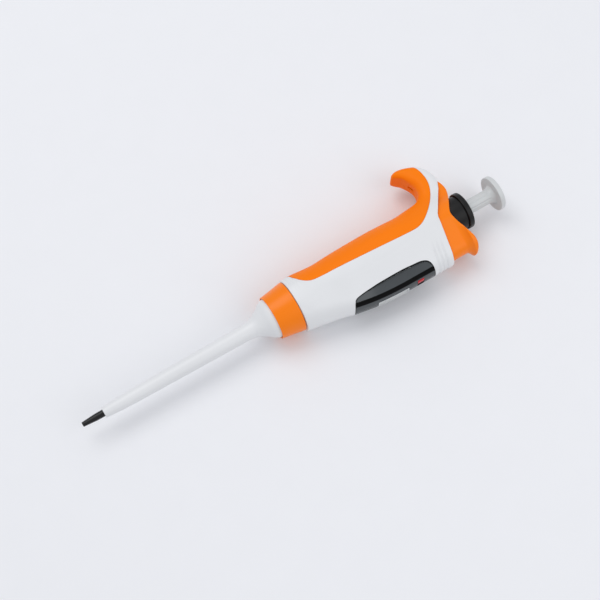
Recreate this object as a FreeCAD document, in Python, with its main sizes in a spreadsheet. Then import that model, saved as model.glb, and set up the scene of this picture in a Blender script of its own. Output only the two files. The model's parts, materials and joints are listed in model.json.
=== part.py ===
import FreeCAD, Part
import math
import os

import Sketcher

# Adjustable air-displacement micropipette, 0.5 to 10 microlitres, set to its largest volume.
#
# The parts are drawn in the pipette's own axes: x runs up the axis from the end of the tip cone,
# y points to the finger hook, z to one side. BASE then moves them all to the frame of the model:
# the pipette lies on its side flat, centred in x and y, with z = 0 at the surface it lies on.
# All sizes are in millimetres.

VECTOR = FreeCAD.Vector

DIMENSIONS = {
    # overall
    "overall_length": 240.0,
    "hook_top_y": 34.2,
    "lip_front_y": -24.4,
    "side_flat_z": 13.7,
    "bearing_gap": 0.05,
    # nozzle shaft: tip cone, slim stem inside the sleeve, spring housing, clamped flange
    "orifice_r": 0.4,
    "cone_end_r": 1.2,
    "cone_land_start_x": 7.3,
    "cone_land_end_x": 11.3,
    "cone_land_r": 1.75,
    "stem_start_x": 13.0,
    "stem_start_r": 1.95,
    "stem_mid_x": 40.0,
    "stem_mid_r": 2.35,
    "stem_end_x": 98.0,
    "stem_end_r": 2.7,
    "housing_start_x": 100.5,
    "housing_r": 5.3,
    "housing_bore_r": 4.3,
    "flange_start_x": 121.8,
    "flange_end_x": 123.8,
    "flange_r": 6.4,
    "air_way_r": 0.5,
    "piston_bore_start_x": 30.0,
    "piston_bore_r": 0.95,
    "seal_pocket_start_x": 96.0,
    "seal_pocket_r": 1.9,
    "housing_floor_x": 101.5,
    # union nut that clamps the nozzle shaft in the handle
    "nut_start_x": 116.4,
    "nut_r": 6.9,
    # ejector sleeve: slim tube, trumpet, cylindrical top inside the collar
    "sleeve_mouth_x": 11.5,
    "sleeve_mouth_r": 2.7,
    "sleeve_mouth_bore_r": 2.15,
    "sleeve_low_x": 21.6,
    "sleeve_low_r": 3.36,
    "sleeve_mid_x": 40.6,
    "sleeve_mid_r": 3.7,
    "sleeve_up_x": 89.2,
    "sleeve_up_r": 4.25,
    "sleeve_wall": 0.75,
    "trumpet_a_x": 94.2,
    "trumpet_a_r": 4.58,
    "trumpet_b_x": 97.5,
    "trumpet_b_r": 6.06,
    "trumpet_c_x": 100.8,
    "trumpet_c_r": 8.12,
    "trumpet_d_x": 104.1,
    "trumpet_d_r": 10.6,
    "sleeve_top_x": 113.5,
    # ejector carrier, rod, clip and spring
    "carrier_top_x": 115.5,
    "carrier_r": 10.5,
    "carrier_bore_r": 5.7,
    "rod_offset_y": 8.6,
    "ejector_rod_r": 1.0,
    "ejector_rod_end_x": 205.6,
    "clip_start_x": 140.0,
    "clip_width": 0.8,
    "clip_r": 1.8,
    "ejector_spring_r": 1.42,
    "ejector_spring_wire_r": 0.16,
    "ejector_spring_turns": 14.0,
    "ejector_spring_start_x": 122.1,
    "ejector_spring_end_x": 139.7,
    # collar at the foot of the handle
    "collar_start_x": 105.0,
    "collar_end_x": 117.5,
    "collar_start_r": 11.45,
    "collar_end_r": 13.5,
    "collar_bore_r": 10.95,
    "collar_seat_x": 113.8,
    "spigot_r": 12.0,
    # handle shell and grip
    "handle_start_x": 117.8,
    "bulkhead_end_x": 121.7,
    "cavity_end_x": 225.0,
    "back_wall": 2.0,
    "front_wall": 1.5,
    "grip_thickness": 1.0,
    "hook_half_width": 7.5,
    "hook_crown_r": 5.0,
    "hook_slot_half_width": 1.1,
    "hook_slot_y": 22.5,
    "hook_slot_length": 3.4,
    "hook_hollow_half_width": 6.0,
    # window in the front of the handle, lock tab and counter mask
    "window_corner_y": -15.6,
    "lock_pocket_x": 176.9,
    "lock_pocket_length": 3.9,
    "lock_pocket_centre_z": 0.7,
    "lock_pocket_half_width": 2.8,
    "lock_pocket_floor_y": -21.7,
    "lock_tab_gap": 0.15,
    "lock_tab_height": 0.85,
    "lock_tab_width": 2.2,
    "mask_y": -19.4,
    "mask_thickness": 0.35,
    "mask_half_width": 2.0,
    "mask_start_x": 155.6,
    "mask_end_x": 173.4,
    "mask_slot_start_x": 156.2,
    "mask_slot_end_x": 172.6,
    "mask_slot_half_width": 1.6,
    # mechanism chassis
    "cup_start_x": 123.8,
    "cup_end_x": 128.5,
    "cup_r": 6.5,
    "rail_half_height": 2.5,
    "rail_inner_z": 7.6,
    "rail_outer_z": 9.2,
    "rail_end_x": 192.8,
    "nut_ring_start_x": 154.2,
    "nut_ring_end_x": 160.6,
    "nut_ring_r": 6.1,
    "bracket_start_x": 178.4,
    "bracket_width": 1.2,
    "bracket_back_y": 3.0,
    "bracket_waist_y": -9.0,
    "bracket_front_y": -15.6,
    "bracket_waist_half_width": 5.0,
    "bearing_start_x": 186.0,
    "bearing_housing_r": 7.0,
    "bearing_r": 6.2,
    "volume_nut_r": 5.4,
    # dial: knob, sleeve and gear
    "knob_bottom_x": 209.0,
    "knob_skirt_r": 9.0,
    "knob_groove_x": 217.1,
    "knob_groove_r": 8.7,
    "knob_flange_x": 217.5,
    "knob_top_x": 220.4,
    "knob_flange_r": 9.85,
    "knob_hollow_r": 7.8,
    "knob_web_x": 215.0,
    "knob_recess_r": 5.6,
    "knob_recess_x": 219.2,
    "sleeve_shaft_r": 5.2,
    "dial_sleeve_start_x": 174.7,
    "dial_sleeve_end_x": 218.4,
    "dial_key_end_x": 191.9,
    "dial_bore_r": 4.15,
    "gear_start_x": 175.6,
    "gear_end_x": 177.4,
    "gear_teeth": 26.0,
    "gear_module": 0.5,
    # volume screw
    "screw_bottom_x": 151.0,
    "screw_thread_end_x": 171.0,
    "screw_top_x": 190.0,
    "screw_r": 4.35,
    "screw_bore_r": 1.35,
    "screw_key_flats": 6.4,
    "key_gap": 0.1,
    # plunger: button, fluted stem, rod, stop collar and piston
    "button_start_x": 237.1,
    "button_r": 9.35,
    "button_dish": 0.35,
    "stem_flare_start_x": 233.6,
    "stem_flare_r": 4.6,
    "stem_r": 3.8,
    "stem_bottom_x": 205.2,
    "stem_flutes": 8.0,
    "flute_r": 0.55,
    "plunger_rod_r": 1.25,
    "plunger_rod_top_x": 216.0,
    "stop_start_x": 148.5,
    "stop_end_x": 151.0,
    "stop_r": 3.4,
    "piston_head_start_x": 119.0,
    "piston_head_end_x": 122.0,
    "piston_head_r": 3.8,
    "piston_r": 0.8,
    "piston_bottom_x": 45.0,
    "piston_spring_r": 2.9,
    "piston_spring_wire_r": 0.3,
    "piston_spring_turns": 7.0,
    "piston_spring_start_x": 104.9,
    "piston_spring_end_x": 118.6,
    "retainer_end_x": 104.5,
    "retainer_hub_r": 1.7,
    # blow-out stage
    "washer_start_x": 137.3,
    "washer_end_x": 138.5,
    "washer_r": 5.2,
    "washer_bore_r": 1.8,
    "blowout_spring_r": 4.2,
    "blowout_spring_wire_r": 0.4,
    "blowout_spring_turns": 4.0,
    "blowout_spring_start_x": 129.0,
    "blowout_spring_end_x": 136.8,
    # counter drums on a parallel axle
    "counter_offset_y": -13.0,
    "counter_axle_r": 1.0,
    "drum_r": 6.2,
    "drum_width": 4.6,
    "drum_pitch": 5.9,
    "drum_first_x": 156.0,
    "drum_gear_teeth": 20.0,
    "drum_gear_width": 0.7,
    "carry_disc_r": 4.2,
    "carry_disc_width": 0.5,
    "pinion_teeth": 8.0,
    "pinion_width": 1.0,
    "pinion_axle_r": 0.5,
    "pinion_axle_end_x": 175.0,
    "pinion_angle": 45.0,
    # ejector button
    "ejector_plate_x": 204.0,
    "ejector_plate_end_x": 206.0,
    "ejector_bore_r": 9.3,
    "ejector_hub_bore_r": 6.2,
    "ejector_fin_half_width": 5.6,
    "ejector_skirt_x": 196.0,
    "ejector_skirt_wall": 1.0,
    "ejector_back_inset": 2.4,
    "ejector_front_inset": 2.0,
    "ejector_front_hollow_end_x": 207.4,
    "lip_start_x": 207.8,
    "lip_r": 9.5,
    "lip_centre_y": -14.9,
}

# Cross-sections of the handle: at x, the hull of a circle of back_r on the axis and a circle of
# front_r whose centre lies front_y in front of it.
HANDLE_SECTIONS = [
    # x, back_r, front_y, front_r
    (117.8, 13.9, 1.2, 13.4),
    (123.0, 14.1, 3.0, 12.4),
    (135.0, 13.2, 7.3, 10.3),
    (145.0, 13.65, 11.0, 9.1),
    (156.0, 14.0, 13.6, 8.2),
    (168.0, 14.16, 14.6, 8.0),
    (180.0, 13.8, 14.7, 8.0),
    (190.0, 13.1, 14.7, 8.1),
    (196.0, 13.1, 14.7, 8.1),
    (202.0, 13.1, 14.7, 8.1),
    (208.0, 13.1, 14.7, 8.1),
    (219.0, 13.1, 14.7, 8.1),
]
FIRST_SECTION_OF_BUTTON = 7
SECTION_KEYS = ("x", "back_r", "front_y", "front_r")
for number, section in enumerate(HANDLE_SECTIONS):
    for key, value in zip(SECTION_KEYS, section):
        DIMENSIONS[f"section_{number}_{key}"] = value

doc = FreeCAD.newDocument("micropipette")
sheet = doc.addObject("Spreadsheet::Sheet", "dims")
for row, (alias, value) in enumerate(DIMENSIONS.items(), start=1):
    sheet.set(f"A{row}", str(value))
    sheet.setAlias(f"A{row}", alias)
doc.recompute()

SUB_PARTS = []

# ---------------------------------------------------------------- lengths and expressions
# A length is a number, the name of a cell, "-name", or a tuple of those to add up.


def terms_of(length):
    """The terms of a length, with any tuple inside it opened out."""
    if not isinstance(length, tuple):
        return (length,)
    return tuple(term for part in length for term in terms_of(part))


def number_of(length):
    """The length as a number."""
    total = 0.0
    for term in terms_of(length):
        if isinstance(term, str):
            sign = -1.0 if term.startswith("-") else 1.0
            total += sign * DIMENSIONS[term.lstrip("-")]
        else:
            total += term
    return total


def minus(length):
    """The same length with its sign turned."""
    turned_terms = []
    for term in terms_of(length):
        if not isinstance(term, str):
            turned_terms.append(-term)
        else:
            turned_terms.append(term[1:] if term.startswith("-") else "-" + term)
    return tuple(turned_terms)


def formula_of(length):
    """The length as an expression that reads the sheet."""
    pieces = []
    for term in terms_of(length):
        if isinstance(term, str) and term.startswith("-"):
            pieces.append(f"- dims.{term[1:]}")
        elif isinstance(term, str):
            pieces.append(f"+ dims.{term}")
        else:
            pieces.append(f"{'-' if term < 0 else '+'} {abs(term)}")
    return "0 " + " ".join(pieces)


def bind(item, prop, length):
    item.setExpression(prop, f"({formula_of(length)}) * 1 mm")


def bind_constraint(sketch, index, name, length):
    sketch.renameConstraint(index, name)
    bind(sketch, f"Constraints.{name}", length)


# ---------------------------------------------------------------- placing the sub-parts

BASE = VECTOR(
    -number_of("overall_length") / 2,
    -(number_of("hook_top_y") + number_of("lip_front_y")) / 2,
    number_of("side_flat_z"),
)
X_AXIS = VECTOR(1, 0, 0)
COUNTER_AXIS = VECTOR(0, number_of("counter_offset_y"), 0)
ROD_AXIS = VECTOR(0, number_of("rod_offset_y"), 0)
DRUM_PITCH_R = number_of("gear_module") * number_of("drum_gear_teeth") / 2
PINION_PITCH_R = number_of("gear_module") * number_of("pinion_teeth") / 2
PINION_TURN = math.radians(number_of("pinion_angle"))
PINION_AXIS = COUNTER_AXIS + VECTOR(0, math.cos(PINION_TURN), math.sin(PINION_TURN)) * (
    DRUM_PITCH_R + PINION_PITCH_R
)
CENTRE_AXIS = VECTOR(0, 0, 0)


def sub_part(item, label, axis=CENTRE_AXIS, turn=0.0):
    """Name a finished piece and move it from its own axis to its place in the model."""
    item.Label = label
    item.Placement = FreeCAD.Placement(BASE + axis, FreeCAD.Rotation(X_AXIS, turn))
    SUB_PARTS.append(item)
    return item


# ---------------------------------------------------------------- sketches


def origin_plane(body, role):
    return next(f for f in body.Origin.OriginFeatures if f.Role == role)


def sketch_on(body, role, name, offset=None):
    """A sketch on one of the body's origin planes, offset along that plane's normal."""
    sketch = body.newObject("Sketcher::SketchObject", name)
    sketch.AttachmentSupport = [(origin_plane(body, role), "")]
    sketch.MapMode = "FlatFace"
    if offset is not None:
        sketch.AttachmentOffset = FreeCAD.Placement(
            VECTOR(0, 0, number_of(offset)), FreeCAD.Rotation()
        )
        bind(sketch, "AttachmentOffset.Base.z", offset)
    return sketch


def arc_through(start, end, radius, bulge_left):
    """The arc of the given radius from start to end that bulges to the left or the right."""
    middle = (start + end) * 0.5
    half = (end - start) * 0.5
    rise = math.sqrt(max(radius**2 - half.Length**2, 0.0))
    left = VECTOR(-half.y, half.x, 0) / half.Length
    side = 1.0 if bulge_left else -1.0
    centre = middle - left * side * rise
    top = centre + left * side * radius
    return Part.Arc(start, top, end)


def draw_outline(sketch, corners, arcs=None):
    """A closed outline: corners are (x, y) lengths, arcs gives {edge: (radius, bulge_left)}."""
    arcs = arcs or {}
    points = [VECTOR(number_of(x), number_of(y), 0) for x, y in corners]
    count = len(points)
    starts, ends = [], []
    for i, point in enumerate(points):
        following = points[(i + 1) % count]
        if i in arcs:
            radius, bulge_left = arcs[i]
            arc = arc_through(point, following, number_of(radius), bulge_left)
            index = sketch.addGeometry(arc, False)
            forward = sketch.getPoint(index, 1).distanceToPoint(point) < 1e-6
            starts.append((index, 1 if forward else 2))
            ends.append((index, 2 if forward else 1))
        else:
            index = sketch.addGeometry(Part.LineSegment(point, following), False)
            starts.append((index, 1))
            ends.append((index, 2))
    for i, (x, y) in enumerate(corners):
        before = ends[i - 1]
        here = starts[i]
        sketch.addConstraint(Sketcher.Constraint("Coincident", *before, *here))
        across = Sketcher.Constraint("DistanceX", -1, 1, *here, number_of(x))
        bind_constraint(sketch, sketch.addConstraint(across), f"corner_{i}_x", x)
        along = Sketcher.Constraint("DistanceY", -1, 1, *here, number_of(y))
        bind_constraint(sketch, sketch.addConstraint(along), f"corner_{i}_y", y)
    for i, (radius, _) in arcs.items():
        curve = Sketcher.Constraint("Radius", starts[i][0], number_of(radius))
        bind_constraint(sketch, sketch.addConstraint(curve), f"edge_{i}_radius", radius)


def draw_circle(sketch, radius, x=0.0, y=0.0):
    centre = VECTOR(number_of(x), number_of(y), 0)
    index = sketch.addGeometry(Part.Circle(centre, VECTOR(0, 0, 1), number_of(radius)), False)
    name = f"circle_{index}"
    across = Sketcher.Constraint("DistanceX", -1, 1, index, 3, number_of(x))
    bind_constraint(sketch, sketch.addConstraint(across), f"{name}_x", x)
    along = Sketcher.Constraint("DistanceY", -1, 1, index, 3, number_of(y))
    bind_constraint(sketch, sketch.addConstraint(along), f"{name}_y", y)
    size = Sketcher.Constraint("Radius", index, number_of(radius))
    bind_constraint(sketch, sketch.addConstraint(size), f"{name}_radius", radius)


# ---------------------------------------------------------------- kinds of piece


def turned(label, profile, arcs=None):
    """A body turned about its x axis from a closed profile of (x, radius) corners."""
    body = doc.addObject("PartDesign::Body", label)
    sketch = sketch_on(body, "XY_Plane", f"{label}_profile")
    draw_outline(sketch, profile, arcs)
    turn = body.newObject("PartDesign::Revolution", f"{label}_turn")
    turn.Profile = sketch
    turn.ReferenceAxis = (sketch, ["H_Axis"])
    turn.Angle = 360
    return body


def tube(label, start, end, radius, bore=0.0):
    return turned(label, [(start, bore), (start, radius), (end, radius), (end, bore)])


def pad_on(body, sketch, length, name):
    pad = body.newObject("PartDesign::Pad", name)
    pad.Profile = sketch
    bind(pad, "Length", length)
    return pad


def coil_spring(label, start, end, radius, wire_r, turns):
    """An open coil spring about the body's x axis, made as a helix of round wire."""
    body = doc.addObject("PartDesign::Body", label)
    sketch = sketch_on(body, "XY_Plane", f"{label}_wire")
    draw_circle(sketch, wire_r, start, radius)
    coil = body.newObject("PartDesign::AdditiveHelix", f"{label}_coil")
    coil.Profile = sketch
    coil.ReferenceAxis = (sketch, ["H_Axis"])
    coil.Mode = 0
    coil.setExpression("Pitch", f"({formula_of((end, '-' + start))}) / dims.{turns} * 1 mm")
    coil.setExpression("Height", f"({formula_of((end, '-' + start))}) * 1 mm")
    return body


def spur_gear(label, start, end, teeth, bore):
    """A spur gear about its own x axis; end is its width where start is a plain number."""
    body = doc.addObject("PartDesign::Body", label)
    disc = sketch_on(body, "YZ_Plane", f"{label}_disc", start)
    draw_circle(disc, tooth_root_r(teeth))
    draw_circle(disc, bore)
    width = (end, "-" + start) if isinstance(start, str) else end
    pad_on(body, disc, width, f"{label}_blank")
    add_teeth(body, label, start, width, teeth)
    return body


def tooth_root_r(teeth):
    module = number_of("gear_module")
    return module * number_of(teeth) / 2 - 1.15 * module


def add_teeth(body, label, start, width, teeth):
    """A ring of thin straight-sided teeth, which leave backlash, added to a gear's blank."""
    module = number_of("gear_module")
    count = int(number_of(teeth))
    root_r = tooth_root_r(teeth)
    tip_r = module * count / 2 + 0.9 * module
    root_half = 0.84 * module
    tip_half = 0.3 * module
    foot = root_r - 0.1 * module
    tooth = sketch_on(body, "YZ_Plane", f"{label}_tooth", start)
    draw_outline(
        tooth, [(foot, -root_half), (tip_r, -tip_half), (tip_r, tip_half), (foot, root_half)]
    )
    first = pad_on(body, tooth, width, f"{label}_first_tooth")
    ring = body.newObject("PartDesign::PolarPattern", f"{label}_teeth")
    ring.Originals = [first]
    ring.Axis = (origin_plane(body, "X_Axis"), [""])
    ring.Angle = 360
    ring.Occurrences = count
    body.Tip = ring


def box(name, x_span, y_span, z_span):
    """A box from spans of (low, high) lengths."""
    block = doc.addObject("Part::Box", name)
    for prop, place, (low, high) in zip(
        ("Length", "Width", "Height"), ("x", "y", "z"), (x_span, y_span, z_span)
    ):
        bind(block, prop, (high, minus(low)))
        bind(block, f"Placement.Base.{place}", low)
    return block


def rod(name, start, end, radius, y=0.0, z=0.0):
    """A cylinder along x."""
    cylinder = doc.addObject("Part::Cylinder", name)
    cylinder.Placement = FreeCAD.Placement(
        VECTOR(0, 0, 0), FreeCAD.Rotation(VECTOR(0, 1, 0), 90)
    )
    bind(cylinder, "Height", (end, minus(start)))
    bind(cylinder, "Radius", radius)
    bind(cylinder, "Placement.Base.x", start)
    bind(cylinder, "Placement.Base.y", y)
    bind(cylinder, "Placement.Base.z", z)
    return cylinder


def joined(name, *pieces):
    fuse = doc.addObject("Part::MultiFuse", name)
    fuse.Shapes = list(pieces)
    return fuse


def cut(name, base, *tools):
    tool = tools[0] if len(tools) == 1 else joined(f"{name}_tools", *tools)
    result = doc.addObject("Part::Cut", name)
    result.Base = base
    result.Tool = tool
    return result


def shared(name, *pieces):
    common = doc.addObject("Part::MultiCommon", name)
    common.Shapes = list(pieces)
    return common


def side_profile(name, corners, half_width, arcs=None):
    """A solid with an outline drawn in the x-y plane, as wide as twice half_width in z."""
    sketch = doc.addObject("Sketcher::SketchObject", f"{name}_outline")
    draw_outline(sketch, corners, arcs)
    return extruded(name, sketch, half_width)


def extruded(name, outline, half_width):
    solid = doc.addObject("Part::Extrusion", name)
    solid.Base = outline
    solid.DirMode = "Custom"
    solid.Dir = VECTOR(0, 0, 1)
    solid.Solid = True
    bind(solid, "LengthFwd", half_width)
    bind(solid, "LengthRev", half_width)
    return solid


def egg_sketch(name, number, back_less, front_less):
    """The handle's cross-section at one station: two arcs joined by their tangent lines."""
    x = f"section_{number}_x"
    back = (f"section_{number}_back_r", back_less)
    centre = f"section_{number}_front_y"
    front = (f"section_{number}_front_r", front_less)
    back_r, reach, front_r = number_of(back), number_of(centre), number_of(front)
    slope = (back_r - front_r) / reach
    rise = math.sqrt(1 - slope**2)
    high = VECTOR(-slope * back_r, rise * back_r, 0)
    far = VECTOR(-reach - slope * front_r, rise * front_r, 0)
    low = VECTOR(high.x, -high.y, 0)
    near = VECTOR(far.x, -far.y, 0)
    sketch = doc.addObject("Sketcher::SketchObject", name)
    turn = FreeCAD.Rotation(VECTOR(1, 1, 1), 120)
    sketch.Placement = FreeCAD.Placement(VECTOR(number_of(x), 0, 0), turn)
    bind(sketch, "Placement.Base.x", x)
    back_arc = sketch.addGeometry(Part.Arc(low, VECTOR(back_r, 0, 0), high), False)
    top = sketch.addGeometry(Part.LineSegment(high, far), False)
    nose = VECTOR(-reach - front_r, 0, 0)
    front_arc = sketch.addGeometry(Part.Arc(far, nose, near), False)
    bottom = sketch.addGeometry(Part.LineSegment(near, low), False)
    for first, first_end, second, second_end in (
        (back_arc, 2, top, 1),
        (top, 2, front_arc, 1),
        (front_arc, 2, bottom, 1),
        (bottom, 2, back_arc, 1),
    ):
        smooth = Sketcher.Constraint("Tangent", first, first_end, second, second_end)
        sketch.addConstraint(smooth)
    sketch.addConstraint(Sketcher.Constraint("Coincident", back_arc, 3, -1, 1))
    sketch.addConstraint(Sketcher.Constraint("PointOnObject", front_arc, 3, -1))
    forward = Sketcher.Constraint("DistanceX", front_arc, 3, -1, 1, reach)
    bind_constraint(sketch, sketch.addConstraint(forward), "reach", centre)
    size = Sketcher.Constraint("Radius", back_arc, back_r)
    bind_constraint(sketch, sketch.addConstraint(size), "back_radius", back)
    size = Sketcher.Constraint("Radius", front_arc, front_r)
    bind_constraint(sketch, sketch.addConstraint(size), "front_radius", front)
    return sketch


def handle_form(name, back_less=0.0, front_less=0.0, first=0):
    """The handle's lofted form, thinner than the outside by the given amounts."""
    loft = doc.addObject("Part::Loft", name)
    loft.Sections = [
        egg_sketch(f"{name}_section_{number}", number, back_less, front_less)
        for number in range(first, len(HANDLE_SECTIONS))
    ]
    loft.Solid = True
    loft.Ruled = False
    return loft


# ================================================================ the handle, which stays still

# Finger hook, seen from the side: concave finger side, rounded tip, top, back, and the slanted
# edge that the ejector button comes out of.
HOOK_CORNERS = [
    (190.0, 8.0),
    (192.5, 12.2),
    (197.5, 13.0),
    (201.2, 15.8),
    (200.4, 27.9),
    (197.0, 29.6),
    (197.4, 32.9),
    (204.4, "hook_top_y"),
    (209.4, 32.3),
    (216.1, 21.3),
    (215.9, 19.8),
    (213.0, 14.2),
    (206.4, 5.6),
    (202.3, 0.0),
    (190.0, 0.0),
]
HOOK_ARCS = {
    3: (8.4, False),
    5: (1.9, True),
    6: (16.0, True),
    7: (9.5, True),
    8: (15.0, True),
}

# What lies beyond the handle's open top end.
OPEN_END_CORNERS = [
    (196.1, -40.0),
    (202.3, 0.0),
    (206.4, 5.6),
    (212.9, 14.0),
    (230.0, 14.0),
    (230.0, -40.0),
]

# Region of the soft grip: a slanted end near the collar, a straight side boundary, then a curve
# up the side of the hook.
GRIP_CORNERS = [
    (119.6, 9.6),
    (127.4, 2.9),
    (129.6, 2.1),
    (189.0, -0.5),
    (202.0, 7.1),
    (209.6, 17.4),
    (210.0, 28.5),
    (206.0, 45.0),
    (119.6, 45.0),
]
GRIP_ARCS = {3: (15.9, False), 4: (31.8, False), 5: (19.6, False)}

# Window: slanted lower end, arched long edge, rounded upper end.
WINDOW_CORNERS = [
    (138.6, -26.0),
    (144.4, "window_corner_y"),
    (183.4, "window_corner_y"),
    (187.4, -19.4),
    (187.4, -26.0),
]
WINDOW_ARCS = {1: (67.0, True), 2: (4.0, True)}

# Hollow in the root of the hook, which the back of the ejector button slides into.
HOOK_HOLLOW_CORNERS = [
    (199.4, 8.0),
    (206.9, 20.1),
    (230.0, 20.1),
    (230.0, 8.0),
]


def solid_handle(name, back_less=0.0, front_less=0.0, hook_less=0.0):
    """The whole outside form of the handle: lofted body and hook, cut off at its open end."""
    body = handle_form(f"{name}_body", back_less, front_less)
    outline = doc.addObject("Sketcher::SketchObject", f"{name}_hook_outline")
    draw_outline(outline, HOOK_CORNERS, HOOK_ARCS)
    if hook_less:
        inner = doc.addObject("Part::Offset2D", f"{name}_hook_inset")
        inner.Source = outline
        inner.Join = 0
        bind(inner, "Value", "-" + hook_less)
        outline = inner
        width = ("hook_half_width", "-" + hook_less)
    else:
        width = "hook_half_width"
    slab = extruded(f"{name}_hook_slab", outline, width)
    hook = shared(f"{name}_hook", slab, crown(name, hook_less))
    open_end = side_profile(f"{name}_open_end", OPEN_END_CORNERS, 40.0)
    trimmed = cut(f"{name}_trimmed", body, open_end)
    whole = joined(f"{name}_whole", trimmed, hook)
    return shared(f"{name}_between_flats", whole, between_flats(name))


def crown(name, less):
    """A bar along x whose top edges are rounded, to round the crown of the hook."""
    half = ("hook_half_width", minus(less))
    top = ("hook_top_y", minus(less))
    shoulder_y = ("hook_top_y", "-hook_crown_r")
    shoulder_z = ("hook_half_width", "-hook_crown_r")
    sketch = doc.addObject("Sketcher::SketchObject", f"{name}_crown_outline")
    turn = FreeCAD.Rotation(VECTOR(1, 1, 1), 120)
    sketch.Placement = FreeCAD.Placement(VECTOR(180.0, 0, 0), turn)
    corners = [
        (-5.0, minus(half)),
        (shoulder_y, minus(half)),
        (top, minus(shoulder_z)),
        (top, shoulder_z),
        (shoulder_y, half),
        (-5.0, half),
    ]
    corner_r = ("hook_crown_r", minus(less))
    draw_outline(sketch, corners, {1: (corner_r, False), 3: (corner_r, False)})
    bar = doc.addObject("Part::Extrusion", f"{name}_crown")
    bar.Base = sketch
    bar.DirMode = "Custom"
    bar.Dir = VECTOR(1, 0, 0)
    bar.Solid = True
    bar.LengthFwd = 60.0
    return bar


def between_flats(name):
    return box(
        f"{name}_slab",
        (110.0, 230.0),
        (-60.0, 60.0),
        ("-side_flat_z", "side_flat_z"),
    )


def make_handle():
    outside = solid_handle("outside")
    core = solid_handle("core", "-grip_thickness", 0.0, "grip_thickness")
    grip_region = side_profile("grip_region", GRIP_CORNERS, 40.0, GRIP_ARCS)
    grip_layer = shared("grip_layer", outside, grip_region)
    slot = box(
        "hook_slot",
        (196.0, 206.0),
        ("hook_slot_y", ("hook_slot_y", "hook_slot_length")),
        ("-hook_slot_half_width", "hook_slot_half_width"),
    )
    grip = cut("grip_cut", grip_layer, core, slot)
    sub_part(grip, "hand_grip")
    shell_outside = cut("shell_outside", outside, cut("grip_all", grip_layer, core))
    spigot = rod("spigot", "collar_seat_x", "handle_start_x", "spigot_r")
    window_region = side_profile("window_region", WINDOW_CORNERS, 40.0, WINDOW_ARCS)
    cavity_form = handle_form("cavity_form", "-back_wall", "-front_wall")
    cavity_span = box(
        "cavity_span", ("bulkhead_end_x", "cavity_end_x"), (-60.0, 60.0), (-60.0, 60.0)
    )
    cavity = shared("cavity", cavity_form, cavity_span)
    hook_hollow = side_profile("hook_hollow", HOOK_HOLLOW_CORNERS, "hook_hollow_half_width")
    foot_bore = rod("foot_bore", 100.0, "handle_start_x", "collar_bore_r")
    nut_bore = rod("nut_bore", 100.0, 123.0, ("nut_r", "bearing_gap"))
    rod_hole = rod("rod_hole", 100.0, 123.0, ("ejector_rod_r", 0.1), "rod_offset_y")
    shell = cut(
        "shell_cut",
        joined("shell_solid", shell_outside, spigot),
        window_region,
        cavity,
        hook_hollow,
        foot_bore,
        nut_bore,
        rod_hole,
    )
    sub_part(shell, "handle_shell")
    window_ring = shared("window_ring", outside, window_region)
    pocket = box(
        "lock_pocket",
        ("lock_pocket_x", ("lock_pocket_x", "lock_pocket_length")),
        (-30.0, "lock_pocket_floor_y"),
        (
            ("lock_pocket_centre_z", "-lock_pocket_half_width"),
            ("lock_pocket_centre_z", "lock_pocket_half_width"),
        ),
    )
    window = cut("window_cut", window_ring, cavity_form, pocket)
    sub_part(window, "window_cover")


def make_collar():
    collar = turned(
        "handle_collar",
        [
            ("collar_start_x", "collar_bore_r"),
            ("collar_start_x", ("collar_start_r", -0.25)),
            (("collar_start_x", 0.35), ("collar_start_r", 0.05)),
            ("collar_end_x", "collar_end_r"),
            ("collar_end_x", ("spigot_r", 0.02)),
            ("collar_seat_x", ("spigot_r", 0.02)),
            ("collar_seat_x", "collar_bore_r"),
        ],
    )
    sub_part(collar, "handle_collar")


def make_window_details():
    plate = box(
        "mask_plate",
        ("mask_start_x", "mask_end_x"),
        (("mask_y", "-mask_thickness"), "mask_y"),
        ("-mask_half_width", "mask_half_width"),
    )
    opening = box(
        "mask_opening",
        ("mask_slot_start_x", "mask_slot_end_x"),
        (("mask_y", "-mask_thickness", -1.0), ("mask_y", 1.0)),
        ("-mask_slot_half_width", "mask_slot_half_width"),
    )
    sub_part(cut("mask_cut", plate, opening), "counter_mask")
    tab_high_z = ("lock_pocket_centre_z", "lock_pocket_half_width", "-lock_tab_gap")
    tab = box(
        "tab",
        (
            ("lock_pocket_x", "lock_tab_gap"),
            ("lock_pocket_x", "lock_pocket_length", "-lock_tab_gap"),
        ),
        (
            ("lock_pocket_floor_y", -0.05, "-lock_tab_height"),
            ("lock_pocket_floor_y", -0.05),
        ),
        ((tab_high_z, "-lock_tab_width"), tab_high_z),
    )
    sub_part(smoothed_block("lock_tab_body", tab), "lock_tab")


def smoothed_block(name, block):
    """A block whose front edges are chamfered, so that it feels smooth."""
    doc.recompute()
    chamfer = doc.addObject("Part::Chamfer", name)
    chamfer.Base = block
    outer_y = block.Shape.BoundBox.YMin
    chamfer.Edges = [
        (index, 0.2, 0.2)
        for index, edge in enumerate(block.Shape.Edges, start=1)
        if abs(edge.BoundBox.YMax - outer_y) < 1e-6
    ]
    return chamfer


# ================================================================ nozzle shaft and its seals


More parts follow.
